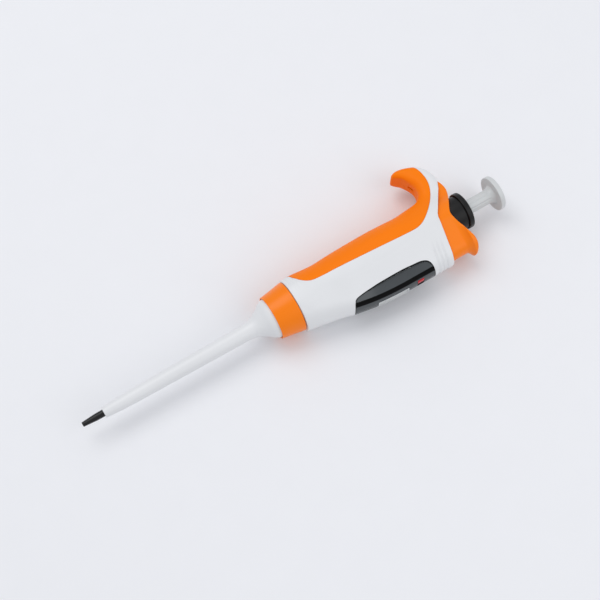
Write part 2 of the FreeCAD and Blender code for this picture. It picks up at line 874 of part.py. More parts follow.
def make_nozzle_shaft():
    shaft = turned(
        "nozzle_shaft",
        [
            (0.0, "orifice_r"),
            (0.0, ("cone_end_r", -0.3)),
            (0.3, "cone_end_r"),
            ("cone_land_start_x", "cone_land_r"),
            ("cone_land_end_x", "cone_land_r"),
            ("stem_start_x", "stem_start_r"),
            ("stem_mid_x", "stem_mid_r"),
            ("stem_end_x", "stem_end_r"),
            ("housing_start_x", "housing_r"),
            ("flange_start_x", "housing_r"),
            ("flange_start_x", "flange_r"),
            ("flange_end_x", "flange_r"),
            ("flange_end_x", "housing_bore_r"),
            ("housing_floor_x", "housing_bore_r"),
            ("housing_floor_x", "seal_pocket_r"),
            ("seal_pocket_start_x", "seal_pocket_r"),
            ("seal_pocket_start_x", "piston_bore_r"),
            ("piston_bore_start_x", "piston_bore_r"),
            (("piston_bore_start_x", -0.5), "air_way_r"),
            (6.0, "air_way_r"),
            (5.0, "orifice_r"),
        ],
    )
    sub_part(shaft, "nozzle_shaft")
    nut = turned(
        "shaft_nut",
        [
            ("nut_start_x", ("housing_r", "bearing_gap")),
            ("nut_start_x", ("nut_r", -0.4)),
            (("nut_start_x", 0.4), "nut_r"),
            ("flange_start_x", "nut_r"),
            ("flange_start_x", ("housing_r", "bearing_gap")),
        ],
    )
    sub_part(nut, "shaft_nut")
    seal_end = ("seal_pocket_start_x", 2.2)
    seal_bore = ("piston_r", "bearing_gap")
    seal = turned(
        "piston_seal",
        [
            ("seal_pocket_start_x", seal_bore),
            ("seal_pocket_start_x", ("seal_pocket_r", -0.03)),
            (seal_end, ("seal_pocket_r", -0.03)),
            (seal_end, ("piston_r", 0.5)),
            (("seal_pocket_start_x", 1.4), ("piston_r", 0.25)),
            (("seal_pocket_start_x", 1.4), seal_bore),
        ],
    )
    sub_part(seal, "piston_seal")
    ring = doc.addObject("Part::Torus", "o_ring_form")
    ring_section_r = 0.5
    bind(ring, "Radius2", ring_section_r)
    bind(ring, "Radius1", ("piston_r", "bearing_gap", ring_section_r))
    ring.Placement = FreeCAD.Placement(VECTOR(0, 0, 0), FreeCAD.Rotation(VECTOR(0, 1, 0), 90))
    bind(ring, "Placement.Base.x", ("seal_pocket_start_x", 2.2, ring_section_r, 0.05))
    seated_ring = free_standing("o_ring_seated", ring)
    sub_part(seated_ring, "seal_o_ring")
    retainer = turned(
        "seal_retainer",
        [
            (("seal_pocket_start_x", 3.4), ("piston_r", "bearing_gap")),
            (("seal_pocket_start_x", 3.4), "retainer_hub_r"),
            ("housing_floor_x", "retainer_hub_r"),
            ("housing_floor_x", ("housing_bore_r", -0.05)),
            ("retainer_end_x", ("housing_bore_r", -0.05)),
            ("retainer_end_x", ("piston_r", "bearing_gap")),
        ],
    )
    sub_part(retainer, "seal_retainer")


def free_standing(name, block):
    """The same solid as an object of its own, whose placement is free."""
    compound = doc.addObject("Part::Compound", name)
    compound.Links = [block]
    return compound


# ================================================================ chassis and bearings


def chassis_plate(name, start, end):
    """A bracket that reaches forward to the counter's axles."""
    back = box(
        f"{name}_back",
        (start, end),
        ("bracket_waist_y", "bracket_back_y"),
        (("-rail_inner_z", -0.5), ("rail_inner_z", 0.5)),
    )
    front = box(
        f"{name}_front",
        (start, end),
        ("bracket_front_y", "bracket_waist_y"),
        ("-bracket_waist_half_width", "bracket_waist_half_width"),
    )
    return joined(name, back, front)


def chassis_ring(name, start, end, radius):
    """A ring about the axis with ears out to the two rails."""
    ring = rod(f"{name}_ring", start, end, radius)
    ears = box(
        f"{name}_ears",
        (start, end),
        ("-rail_half_height", "rail_half_height"),
        (("-rail_inner_z", -0.5), ("rail_inner_z", 0.5)),
    )
    return joined(name, ring, ears)


def make_chassis():
    rails = [
        box(
            f"rail_{side}",
            ("cup_start_x", "rail_end_x"),
            ("-rail_half_height", "rail_half_height"),
            span,
        )
        for side, span in (
            ("near", ("rail_inner_z", "rail_outer_z")),
            ("far", ("-rail_outer_z", "-rail_inner_z")),
        )
    ]
    low_bracket_end = ("nut_ring_start_x", "bracket_width")
    high_bracket_end = ("bracket_start_x", "bracket_width")
    solid = joined(
        "chassis_solid",
        *rails,
        chassis_ring("cup", "cup_start_x", "cup_end_x", "cup_r"),
        chassis_ring("nut_seat", "nut_ring_start_x", "nut_ring_end_x", "nut_ring_r"),
        chassis_ring("bearing_seat", "bearing_start_x", "rail_end_x", "bearing_housing_r"),
        chassis_plate("low_bracket", "nut_ring_start_x", low_bracket_end),
        chassis_plate("high_bracket", "bracket_start_x", high_bracket_end),
    )
    bores = [
        rod("cup_bore", 120.0, 150.0, ("plunger_rod_r", 0.75)),
        rod("nut_bore_hole", ("nut_ring_start_x", "bracket_width"), 165.0, "volume_nut_r"),
        rod("screw_hole", 150.0, 165.0, ("screw_r", 0.25)),
        rod("sleeve_hole", 176.0, 182.0, ("sleeve_shaft_r", 0.2)),
        rod("bearing_hole", 184.0, 200.0, "bearing_r"),
        rod("axle_hole", 150.0, 185.0, ("counter_axle_r", 0.01), "counter_offset_y"),
        rod("pinion_hole", 150.0, 165.0, "pinion_axle_r", PINION_AXIS.y, PINION_AXIS.z),
    ]
    sub_part(cut("chassis_cut", solid, *bores), "mechanism_chassis")
    nut = tube(
        "volume_nut",
        ("nut_ring_start_x", "bracket_width"),
        "nut_ring_end_x",
        "volume_nut_r",
        ("screw_r", "bearing_gap"),
    )
    sub_part(nut, "volume_nut")
    bush = tube(
        "dial_bearing",
        "bearing_start_x",
        "rail_end_x",
        "bearing_r",
        ("sleeve_shaft_r", "bearing_gap"),
    )
    sub_part(bush, "dial_bearing")
    axle_start = ("nut_ring_start_x", -0.4)
    axle_end = ("bracket_start_x", "bracket_width", 0.4)
    axle = tube("counter_axle", axle_start, axle_end, "counter_axle_r")
    sub_part(axle, "counter_axle", COUNTER_AXIS)
    pinion_axle = tube("pinion_axle", axle_start, "pinion_axle_end_x", "pinion_axle_r")
    sub_part(pinion_axle, "pinion_axle", PINION_AXIS)
    spacer = tube(
        "counter_spacer",
        ("nut_ring_start_x", "bracket_width", 0.05),
        ("drum_first_x", -0.1),
        2.0,
        ("counter_axle_r", "bearing_gap"),
    )
    sub_part(spacer, "counter_spacer", COUNTER_AXIS)


# ================================================================ dial and counter


def make_dial():
    knob = turned(
        "volume_knob",
        [
            ("knob_bottom_x", "knob_hollow_r"),
            ("knob_bottom_x", ("knob_skirt_r", -0.3)),
            (("knob_bottom_x", 0.3), "knob_skirt_r"),
            ("knob_groove_x", "knob_skirt_r"),
            ("knob_groove_x", "knob_groove_r"),
            ("knob_flange_x", "knob_groove_r"),
            ("knob_flange_x", ("knob_flange_r", -0.2)),
            (("knob_flange_x", 0.2), "knob_flange_r"),
            (("knob_top_x", -0.5), "knob_flange_r"),
            ("knob_top_x", ("knob_flange_r", -0.5)),
            ("knob_top_x", "knob_recess_r"),
            ("knob_recess_x", ("knob_recess_r", -0.6)),
            ("knob_recess_x", ("stem_r", 0.15)),
            ("dial_sleeve_end_x", ("stem_r", 0.15)),
            ("dial_sleeve_end_x", "sleeve_shaft_r"),
            (("knob_bottom_x", 1.0), "sleeve_shaft_r"),
            (("knob_bottom_x", 1.0), ("sleeve_shaft_r", 0.9)),
            ("knob_web_x", ("sleeve_shaft_r", 0.9)),
            ("knob_web_x", "knob_hollow_r"),
        ],
    )
    sub_part(knob, "volume_knob")
    sleeve = doc.addObject("PartDesign::Body", "dial_sleeve")
    round_part = sketch_on(sleeve, "YZ_Plane", "dial_sleeve_round", "dial_sleeve_start_x")
    draw_circle(round_part, "sleeve_shaft_r")
    draw_hexagon(round_part, ("screw_key_flats", "key_gap", "key_gap"))
    pad_on(sleeve, round_part, ("dial_key_end_x", "-dial_sleeve_start_x"), "keyed_length")
    upper_part = sketch_on(sleeve, "YZ_Plane", "dial_sleeve_upper", "dial_key_end_x")
    draw_circle(upper_part, "sleeve_shaft_r")
    draw_circle(upper_part, "dial_bore_r")
    pad_on(sleeve, upper_part, ("dial_sleeve_end_x", "-dial_key_end_x"), "bored_length")
    sub_part(sleeve, "dial_sleeve")
    gear = spur_gear("dial_gear", "gear_start_x", "gear_end_x", "gear_teeth", "sleeve_shaft_r")
    sub_part(gear, "dial_gear")


def draw_hexagon(sketch, flats):
    """A regular hexagon about the origin, by its distance across flats."""
    circumradius = number_of(flats) / math.sqrt(3)
    corners = []
    for i in range(6):
        angle = math.radians(60 * i)
        corners.append((circumradius * math.cos(angle), circumradius * math.sin(angle)))
    draw_outline(sketch, corners)


def drum(label, number, driven, carries):
    """A number drum: drum number counts from the slowest, which sits nearest the nozzle."""
    start = number_of("drum_first_x") + number * number_of("drum_pitch")
    end = start + number_of("drum_width")
    bore = ("counter_axle_r", "bearing_gap")
    profile = [(start, bore)]
    if carries:
        low = start - number_of("carry_disc_width")
        profile = [(low, bore), (low, "carry_disc_r"), (start, "carry_disc_r")]
    profile += [(start, "drum_r"), (end, "drum_r")]
    if driven:
        high = end + number_of("drum_gear_width")
        gear_root = tooth_root_r("drum_gear_teeth")
        profile += [(end, gear_root), (high, gear_root), (high, bore)]
    else:
        high = number_of("gear_start_x")
        profile += [(end, 3.0), (high, 3.0), (high, bore)]
    body = turned(label, profile)
    if driven:
        add_teeth(body, label, end, "drum_gear_width", "drum_gear_teeth")
    sub_part(body, label, COUNTER_AXIS)


def make_counter():
    drum("drum_tens", 0, driven=True, carries=False)
    drum("drum_units", 1, driven=True, carries=True)
    drum("drum_tenths", 2, driven=False, carries=True)
    half_pitch = 180.0 / number_of("gear_teeth")
    gear = spur_gear(
        "counter_gear",
        "gear_start_x",
        "gear_end_x",
        "gear_teeth",
        ("counter_axle_r", "bearing_gap"),
    )
    sub_part(gear, "counter_gear", COUNTER_AXIS, half_pitch)
    for label, number in (("lower_carry_pinion", 1), ("upper_carry_pinion", 2)):
        gap_start = number_of("drum_first_x") + number * number_of("drum_pitch")
        gap_start -= number_of("drum_pitch") - number_of("drum_width")
        clearance = (number_of("drum_pitch") - number_of("drum_width")) / 2
        start = gap_start + clearance - number_of("pinion_width") / 2
        pinion = spur_gear(
            label, start, "pinion_width", "pinion_teeth", ("pinion_axle_r", "bearing_gap")
        )
        sub_part(pinion, label, PINION_AXIS)


# ================================================================ volume screw and plunger


def make_volume_screw():
    screw = doc.addObject("PartDesign::Body", "volume_screw")
    lower = sketch_on(screw, "YZ_Plane", "screw_lower", "screw_bottom_x")
    draw_circle(lower, "screw_r")
    draw_circle(lower, "screw_bore_r")
    pad_on(screw, lower, ("screw_thread_end_x", "-screw_bottom_x"), "threaded_length")
    upper = sketch_on(screw, "YZ_Plane", "screw_upper", "screw_thread_end_x")
    draw_hexagon(upper, "screw_key_flats")
    draw_circle(upper, "screw_bore_r")
    pad_on(screw, upper, ("screw_top_x", "-screw_thread_end_x"), "key_length")
    sub_part(screw, "volume_screw")


def make_plunger():
    button = turned(
        "push_button",
        [
            ("button_start_x", 0.0),
            ("button_start_x", ("button_r", -0.3)),
            (("button_start_x", 0.3), "button_r"),
            (("overall_length", -0.6), "button_r"),
            ("overall_length", ("button_r", -0.6)),
            ("overall_length", ("button_r", -1.4)),
            (("overall_length", "-button_dish"), 0.0),
        ],
    )
    sub_part(button, "push_button")
    stem = doc.addObject("PartDesign::Body", "plunger_stem")
    profile = sketch_on(stem, "XY_Plane", "stem_profile")
    draw_outline(
        profile,
        [
            ("stem_bottom_x", 0.0),
            ("stem_bottom_x", "stem_r"),
            ("stem_flare_start_x", "stem_r"),
            ("button_start_x", "stem_flare_r"),
            ("button_start_x", 0.0),
        ],
    )
    turn = stem.newObject("PartDesign::Revolution", "stem_turn")
    turn.Profile = profile
    turn.ReferenceAxis = (profile, ["H_Axis"])
    turn.Angle = 360
    flute_sketch = sketch_on(stem, "YZ_Plane", "stem_flute", "stem_bottom_x")
    draw_circle(flute_sketch, "flute_r", ("stem_r", 0.2))
    flute = stem.newObject("PartDesign::Pocket", "first_flute")
    flute.Profile = flute_sketch
    flute.Reversed = True
    bind(flute, "Length", ("stem_flare_start_x", "-stem_bottom_x"))
    ring = stem.newObject("PartDesign::PolarPattern", "stem_flutes")
    ring.Originals = [flute]
    ring.Axis = (origin_plane(stem, "X_Axis"), [""])
    ring.Angle = 360
    ring.Occurrences = int(number_of("stem_flutes"))
    bore_sketch = sketch_on(stem, "YZ_Plane", "stem_bore", "stem_bottom_x")
    draw_circle(bore_sketch, "plunger_rod_r")
    bore = stem.newObject("PartDesign::Pocket", "stem_rod_bore")
    bore.Profile = bore_sketch
    bore.Reversed = True
    bind(bore, "Length", ("plunger_rod_top_x", "-stem_bottom_x"))
    stem.Tip = bore
    sub_part(stem, "plunger_stem")
    rod_body = tube("plunger_rod", "piston_head_end_x", "plunger_rod_top_x", "plunger_rod_r")
    sub_part(rod_body, "plunger_rod")
    stop = tube("stop_collar", "stop_start_x", "stop_end_x", "stop_r", "plunger_rod_r")
    sub_part(stop, "stop_collar")
    piston = turned(
        "piston",
        [
            ("piston_bottom_x", 0.0),
            ("piston_bottom_x", ("piston_r", -0.2)),
            (("piston_bottom_x", 0.2), "piston_r"),
            ("piston_head_start_x", "piston_r"),
            ("piston_head_start_x", "piston_head_r"),
            ("piston_head_end_x", "piston_head_r"),
            ("piston_head_end_x", 0.0),
        ],
    )
    sub_part(piston, "piston")
    washer = tube("blowout_washer", "washer_start_x", "washer_end_x", "washer_r", "washer_bore_r")
    sub_part(washer, "blowout_washer")
    for label in ("piston_spring", "blowout_spring"):
        spring = coil_spring(
            label,
            f"{label}_start_x",
            f"{label}_end_x",
            f"{label}_r",
            f"{label}_wire_r",
            f"{label}_turns",
        )
        sub_part(spring, label)


# ================================================================ tip ejector

# Ejector button, seen from the side: bottom edge that stays hidden inside the handle, saddle
# shaped rim, rounded thumb lip at the front.
EJECTOR_CORNERS = [
    ("ejector_skirt_x", -30.0),
    ("ejector_skirt_x", -20.9),
    (208.4, -20.9),
    (211.0, "lip_front_y"),
    (212.8, "lip_front_y"),
    (215.0, -19.5),
    (209.6, 0.0),
    (216.7, 12.6),
    (215.1, 19.8),
    (213.1, 19.8),
    ("ejector_skirt_x", -7.7),
]
EJECTOR_ARCS = {4: (5.6, True), 5: (44.0, False), 6: (30.0, False), 7: (6.0, True)}
EJECTOR_FIN_CORNERS = [
    (200.8, 0.0),
    (213.1, 19.8),
    (218.0, 19.8),
    (218.0, 0.0),
]


def make_ejector():
    sleeve_inside = "-sleeve_wall"
    sleeve = turned(
        "ejector_sleeve",
        [
            ("sleeve_mouth_x", "sleeve_mouth_bore_r"),
            ("sleeve_mouth_x", ("sleeve_mouth_r", -0.2)),
            (("sleeve_mouth_x", 0.25), "sleeve_mouth_r"),
            ("sleeve_low_x", "sleeve_low_r"),
            ("sleeve_mid_x", "sleeve_mid_r"),
            ("sleeve_up_x", "sleeve_up_r"),
            ("trumpet_a_x", "trumpet_a_r"),
            ("trumpet_b_x", "trumpet_b_r"),
            ("trumpet_c_x", "trumpet_c_r"),
            ("trumpet_d_x", "trumpet_d_r"),
            ("sleeve_top_x", "trumpet_d_r"),
            ("sleeve_top_x", ("trumpet_d_r", sleeve_inside)),
            (("trumpet_d_x", 0.35), ("trumpet_d_r", sleeve_inside)),
            (("trumpet_c_x", 0.55), ("trumpet_c_r", sleeve_inside)),
            (("trumpet_b_x", 0.45), ("trumpet_b_r", sleeve_inside)),
            (("trumpet_a_x", 0.2), ("trumpet_a_r", sleeve_inside)),
            ("sleeve_up_x", ("sleeve_up_r", sleeve_inside)),
            ("sleeve_mid_x", ("sleeve_mid_r", sleeve_inside)),
            ("sleeve_low_x", ("sleeve_low_r", sleeve_inside)),
        ],
    )
    sub_part(sleeve, "ejector_sleeve")
    ring = tube("carrier_disc", "sleeve_top_x", "carrier_top_x", "carrier_r", "carrier_bore_r")
    lip = tube(
        "carrier_lip",
        ("sleeve_top_x", -3.0),
        "sleeve_top_x",
        ("trumpet_d_r", sleeve_inside),
        ("trumpet_d_r", sleeve_inside, -1.0),
    )
    seat = rod("rod_seat", ("sleeve_top_x", 0.5), 130.0, "ejector_rod_r", "rod_offset_y")
    sub_part(cut("carrier_cut", joined("carrier_solid", ring, lip), seat), "ejector_carrier")
    push_rod = tube(
        "ejector_rod", ("sleeve_top_x", 0.5), "ejector_rod_end_x", "ejector_rod_r"
    )
    sub_part(push_rod, "ejector_rod", ROD_AXIS)
    clip = tube(
        "ejector_clip",
        "clip_start_x",
        ("clip_start_x", "clip_width"),
        "clip_r",
        "ejector_rod_r",
    )
    sub_part(clip, "ejector_clip", ROD_AXIS)
    spring = coil_spring(
        "ejector_spring",
        "ejector_spring_start_x",
        "ejector_spring_end_x",
        "ejector_spring_r",
        "ejector_spring_wire_r",
        "ejector_spring_turns",
    )
    sub_part(spring, "ejector_spring", ROD_AXIS)
    make_ejector_button()


def make_ejector_button():
    body = handle_form(
        "button_body",
        "-ejector_back_inset",
        "-ejector_front_inset",
        FIRST_SECTION_OF_BUTTON,
    )
    fin = side_profile("button_fin", EJECTOR_FIN_CORNERS, "ejector_fin_half_width")
    lip = rod("button_lip", "lip_start_x", 219.0, "lip_r", "lip_centre_y")
    outline = side_profile("button_outline", EJECTOR_CORNERS, 40.0, EJECTOR_ARCS)
    solid = shared("button_solid", joined("button_whole", body, fin, lip), outline)
    skirt_back = ("-ejector_back_inset", "-ejector_skirt_wall")
    skirt_front = ("-ejector_front_inset", "-ejector_skirt_wall")
    inside = handle_form("button_inside", skirt_back, skirt_front, FIRST_SECTION_OF_BUTTON)
    below_plate = box(
        "below_plate", (190.0, "ejector_plate_x"), (-40.0, 11.0), (-20.0, 20.0)
    )
    front_hollow = box(
        "front_hollow",
        (190.0, "ejector_front_hollow_end_x"),
        (-40.0, -10.5),
        (-20.0, 20.0),
    )
    hollow = shared("button_hollow", inside, joined("hollow_spans", below_plate, front_hollow))
    knob_room = rod("knob_room", "ejector_plate_end_x", 230.0, "ejector_bore_r")
    hub_hole = rod("hub_hole", 190.0, 230.0, "ejector_hub_bore_r")
    rod_socket = rod(
        "rod_socket", 190.0, "ejector_rod_end_x", "ejector_rod_r", "rod_offset_y"
    )
    button = cut("button_cut", solid, hollow, knob_room, hub_hole, rod_socket)
    sub_part(button, "ejector_button")


# ================================================================ build, check and write


def check_document():
    faults = []
    for item in doc.Objects:
        if any(word in state for state in item.State for word in ("Invalid", "Error")):
            faults.append(f"{item.Name}: {item.State}")
    for item in SUB_PARTS:
        shape = item.Shape
        if shape.isNull() or not shape.isValid() or not shape.Solids:
            faults.append(f"{item.Label}: its shape is not a valid solid")
    if faults:
        raise RuntimeError("; ".join(faults))


def write_sub_parts():
    os.makedirs("parts", exist_ok=True)
    for item in SUB_PARTS:
        item.Shape.exportStep(f"parts/{item.Label}.step")


make_handle()
make_collar()
make_window_details()
make_nozzle_shaft()
make_chassis()
make_dial()
make_counter()
make_volume_screw()
make_plunger()
make_ejector()
doc.recompute()
check_document()
write_sub_parts()
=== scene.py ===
"""The looks of the adjustable micropipette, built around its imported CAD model.

Forms are drawn in the pipette's own axes, in millimetres: x runs up the axis from the end of the
tip cone, y points to the finger hook and z to the side that faces up. to_row() moves them to the
frame of the model. Turned pieces are revolved profiles. The handle, grip, window and ejector
button are signed distance fields, meshed by dual contouring, which keeps their edges crisp.
"""

import json
import math

import bmesh
import bpy
import numpy as np
from mathutils import Matrix, Vector


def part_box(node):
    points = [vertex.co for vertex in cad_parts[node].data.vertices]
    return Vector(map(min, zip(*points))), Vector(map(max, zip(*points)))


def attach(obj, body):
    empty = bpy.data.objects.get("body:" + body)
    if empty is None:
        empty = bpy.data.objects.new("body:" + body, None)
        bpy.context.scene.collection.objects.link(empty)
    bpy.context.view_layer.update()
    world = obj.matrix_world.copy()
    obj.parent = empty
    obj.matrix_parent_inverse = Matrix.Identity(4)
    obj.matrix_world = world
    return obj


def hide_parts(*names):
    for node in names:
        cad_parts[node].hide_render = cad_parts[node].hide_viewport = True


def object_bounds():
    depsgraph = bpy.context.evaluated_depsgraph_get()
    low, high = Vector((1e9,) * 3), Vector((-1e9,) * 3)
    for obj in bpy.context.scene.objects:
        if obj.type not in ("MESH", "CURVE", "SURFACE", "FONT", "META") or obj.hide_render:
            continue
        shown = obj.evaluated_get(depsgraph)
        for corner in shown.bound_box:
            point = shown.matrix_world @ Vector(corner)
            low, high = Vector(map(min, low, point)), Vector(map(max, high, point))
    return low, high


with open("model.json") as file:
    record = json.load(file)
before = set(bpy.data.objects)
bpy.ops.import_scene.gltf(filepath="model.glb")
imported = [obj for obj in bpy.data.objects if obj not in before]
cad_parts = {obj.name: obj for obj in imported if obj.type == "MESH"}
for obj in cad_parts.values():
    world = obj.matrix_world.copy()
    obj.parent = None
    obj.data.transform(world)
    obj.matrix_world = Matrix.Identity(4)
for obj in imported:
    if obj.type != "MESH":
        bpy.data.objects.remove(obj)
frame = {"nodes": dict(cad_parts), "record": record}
cad_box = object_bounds()

MM = 0.001
SHARP_ANGLE = math.radians(38)
SLEEVE_LOW, SLEEVE_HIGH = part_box("ejector_sleeve")
TIP_END_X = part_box("nozzle_shaft")[0].x
AXIS_Y = (SLEEVE_LOW.y + SLEEVE_HIGH.y) / 2
AXIS_Z = (SLEEVE_LOW.z + SLEEVE_HIGH.z) / 2
FLOOR_Z = cad_box[0].z


def to_row(points):
    """Points of the pipette, in millimetres, as points of the model, in metres."""
    return np.asarray(points, float) * MM + (TIP_END_X, AXIS_Y, AXIS_Z)


# ---------------------------------------------------------------- numbers


def smoothstep(value, low, high):
    t = np.clip((value - low) / (high - low), 0.0, 1.0)
    return t * t * (3 - 2 * t)


def smooth_min(a, b, width):
    """The lesser of two fields, blended where they are within width of each other."""
    overlap = np.maximum(width - np.abs(a - b), 0.0) / width
    return np.minimum(a, b) - overlap * overlap * width / 4


def round_max(a, b, radius):
    """What is inside both fields, with the edge where they meet rounded to a radius."""
    outside = np.hypot(np.maximum(a + radius, 0.0), np.maximum(b + radius, 0.0))
    return np.minimum(np.maximum(a, b), -radius) + outside


def spline(points, steps=8):
    """Points along a Catmull-Rom spline through the given points, from the first to the last."""
    knots = np.asarray([points[0], *points, points[-1]], float)
    t = (np.arange(steps) / steps)[:, None]
    parts = []
    for a, b, c, d in zip(knots, knots[1:], knots[2:], knots[3:]):
        parts.append(
            0.5 * (2 * b + (c - a) * t + (2 * a - 5 * b + 4 * c - d) * t**2
                   + (3 * b - a - 3 * c + d) * t**3)
        )
    return np.vstack([*parts, knots[-1:]])


def polygon(x, y, corners):
    """Signed distance in the x-y plane to a closed outline, negative inside."""
    nearest = np.full(x.shape, np.inf)
    inside = np.zeros(x.shape, bool)
    for (ax, ay), (bx, by) in zip(corners, np.roll(corners, -1, axis=0)):
        ex, ey = bx - ax, by - ay
        wx, wy = x - ax, y - ay
        along = np.clip((wx * ex + wy * ey) / (ex * ex + ey * ey), 0.0, 1.0)
        nearest = np.minimum(nearest, (wx - ex * along) ** 2 + (wy - ey * along) ** 2)
        if ay != by:
            crossed = (y >= min(ay, by)) & (y < max(ay, by))
            inside ^= crossed & (wx < wy * ex / ey)
    return np.where(inside, -1.0, 1.0) * np.sqrt(nearest)


# ---------------------------------------------------------------- meshes

# Grid steps in a coarse block of the contouring, how many blocks from the surface the field is
# worked out in full, how often a crossing is halved, and how firmly points keep to their middle.
BLOCK = 4
BAND = 2.2
HALVINGS = 9
CENTRE_PULL = 0.02


def linked(name, data):
    """An object in the scene that shows the given mesh, camera or light."""
    thing = bpy.data.objects.new(name, data)
    bpy.context.scene.collection.objects.link(thing)
    return thing


def new_mesh(name, points, faces):
    """A mesh from points in millimetres, in the pipette's own axes."""
    mesh = bpy.data.meshes.new(name)
    mesh.from_pydata(to_row(points).tolist(), [], faces)
    return mesh


def mesh_piece(name, mesh):
    """A smooth-shaded object of a mesh, with crisp edges past SHARP_ANGLE."""
    mesh.shade_smooth()
    mesh.set_sharp_from_angle(angle=SHARP_ANGLE)
    return linked(name, mesh)


def finished(piece, body, slot, material, *replaced):
    """Dress a piece, and tie it to its CAD body and the nodes that it stands for. The slot is not
    used.
    """
    piece.data.materials.append(material)
    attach(piece, body)
    if replaced:
        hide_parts(*replaced)


def rounded_profile(corners, steps=5):
    """A profile of (x, r) or (x, r, fillet) corners, with an arc in place of each fillet."""
    points = []
    for number, corner in enumerate(corners):
        here = np.array(corner[:2], float)
        fillet = corner[2] if len(corner) > 2 else 0.0
        if not fillet:
            points.append(here)
            continue
        before = np.array(corners[number - 1][:2], float) - here
        after = np.array(corners[(number + 1) % len(corners)][:2], float) - here
        before /= np.linalg.norm(before)
        after /= np.linalg.norm(after)
        half = math.acos(np.clip(before @ after, -1, 1)) / 2
        reach = fillet / math.tan(half)
        bisector = (before + after) / np.linalg.norm(before + after)
        centre = here + bisector * fillet / math.sin(half)
        first = here + before * reach - centre
        last = here + after * reach - centre
        sweep = math.pi - 2 * half
        for step in range(steps + 1):
            share = step / steps
            weight_a = math.sin((1 - share) * sweep) / math.sin(sweep)
            weight_b = math.sin(share * sweep) / math.sin(sweep)
            points.append(centre + weight_a * first + weight_b * last)
    return np.array(points)


def revolved(name, corners, segments=128, ripple=None):
    """A mesh turned about the axis from a closed profile; ripple(x, r, angle) changes its radii."""
    profile = rounded_profile(corners)
    count = len(profile)
    angles = np.arange(segments) * (2 * math.pi / segments)
    x = np.repeat(profile[:, 0], segments)
    r = np.repeat(profile[:, 1], segments)
    angle = np.tile(angles, count)
    if ripple is not None:
        r = ripple(x, r, angle)
    points = np.column_stack([x, r * np.cos(angle), r * np.sin(angle)])
    faces = []
    poles = profile[:, 1] < 1e-9
    for ring in range(count):
        following = (ring + 1) % count
        if poles[ring] and poles[following]:
            continue
        for a in range(segments):
            b = (a + 1) % segments
            corners_here = [ring * segments + a, ring * segments + b]
            corners_next = [following * segments + b, following * segments + a]
            if poles[ring]:
                corners_here = [ring * segments]
            if poles[following]:
                corners_next = [following * segments]
            faces.append(corners_here + corners_next)
    mesh = new_mesh(name, points, faces)
    drop_loose(mesh)
    return mesh_piece(name, mesh)


def drop_loose(mesh):
    """Delete points that no face uses, and turn the faces to look outwards."""
    work = bmesh.new()
    work.from_mesh(mesh)
    loose = [v for v in work.verts if not v.link_faces]
    bmesh.ops.delete(work, geom=loose, context="VERTS")
    bmesh.ops.recalc_face_normals(work, faces=work.faces)
    work.to_mesh(mesh)
    work.free()


def contoured(name, field, low, high, cell):
    """A mesh of the surface where field(x, y, z) is zero, with one point in each crossed cell."""
    counts = [BLOCK * math.ceil((b - a) / cell / BLOCK) for a, b in zip(low, high)]
    axes = [low[i] + cell * np.arange(counts[i] + 1) for i in range(3)]
    inside = banded_values(field, axes, counts, cell) < 0
    step = np.eye(3, dtype=int)
    corner_cells, crossings, normals, outward = [], [], [], []
    for axis in range(3):
        second, third = (axis + 1) % 3, (axis + 2) % 3
        lower = [slice(None)] * 3
        upper = [slice(None)] * 3
        lower[axis], upper[axis] = slice(0, -1), slice(1, None)
        index = np.argwhere(inside[tuple(lower)] != inside[tuple(upper)])
        start = np.column_stack([axes[i][index[:, i]] for i in range(3)])
        starts_inside = inside[tuple(index.T)]
        crossing = crossing_points(field, start, axis, cell, starts_inside)
        crossings.append(crossing)
        normals.append(gradients(field, crossing))
        outward.append(starts_inside)
        around = (step[second] + step[third], step[third], 0 * step[second], step[second])
        corner_cells.append(np.stack([index - offset for offset in around], 1))
    corner_cells = np.vstack(corner_cells)
    crossings, normals = np.vstack(crossings), np.vstack(normals)
    outward = np.concatenate(outward)
    flat = np.ravel_multi_index(np.moveaxis(corner_cells, -1, 0), counts)
    cells, face_corners = np.unique(flat, return_inverse=True)
    face_corners = face_corners.reshape(flat.shape)
    points = cell_points(cells, face_corners, crossings, normals, low, counts, cell)
    faces = np.where(outward[:, None], face_corners, face_corners[:, ::-1])
    mesh = new_mesh(name, points, faces.tolist())
    mesh.validate()
    return mesh_piece(name, mesh)


def banded_values(field, axes, counts, cell):
    """The field on a grid, worked out in full only near the rough values close to its surface."""
    rough = field(*np.meshgrid(*(axis[::BLOCK] for axis in axes), indexing="ij"))
    value = np.repeat(np.repeat(np.repeat(rough, BLOCK, 0), BLOCK, 1), BLOCK, 2)
    half = BLOCK // 2
    trim = tuple(slice(half, half + n + 1) for n in counts)
    value = np.pad(value, [(0, 1)] * 3, mode="edge")[trim]
    near = np.abs(value) < BLOCK * cell * BAND
    index = np.argwhere(near)
    value[near] = field(*(axes[i][index[:, i]] for i in range(3)))
    return value


def crossing_points(field, start, axis, cell, inside_first):
    """Where the surface crosses each grid edge, found by halving."""
    low = np.zeros(len(start))
    high = np.full(len(start), cell)
    spot = start.copy()
    for _ in range(HALVINGS):
        middle = (low + high) / 2
        spot[:, axis] = start[:, axis] + middle
        before = (field(*spot.T) < 0) == inside_first
        low = np.where(before, middle, low)
        high = np.where(before, high, middle)
    spot[:, axis] = start[:, axis] + (low + high) / 2
    return spot


def gradients(field, spots, step=0.004):
    """The field's direction of steepest rise at each spot, as unit vectors."""
    slopes = []
    for axis in range(3):
        shift = np.zeros(3)
        shift[axis] = step
        slopes.append(field(*(spots + shift).T) - field(*(spots - shift).T))
    slopes = np.column_stack(slopes)
    return slopes / np.maximum(np.linalg.norm(slopes, axis=1, keepdims=True), 1e-12)


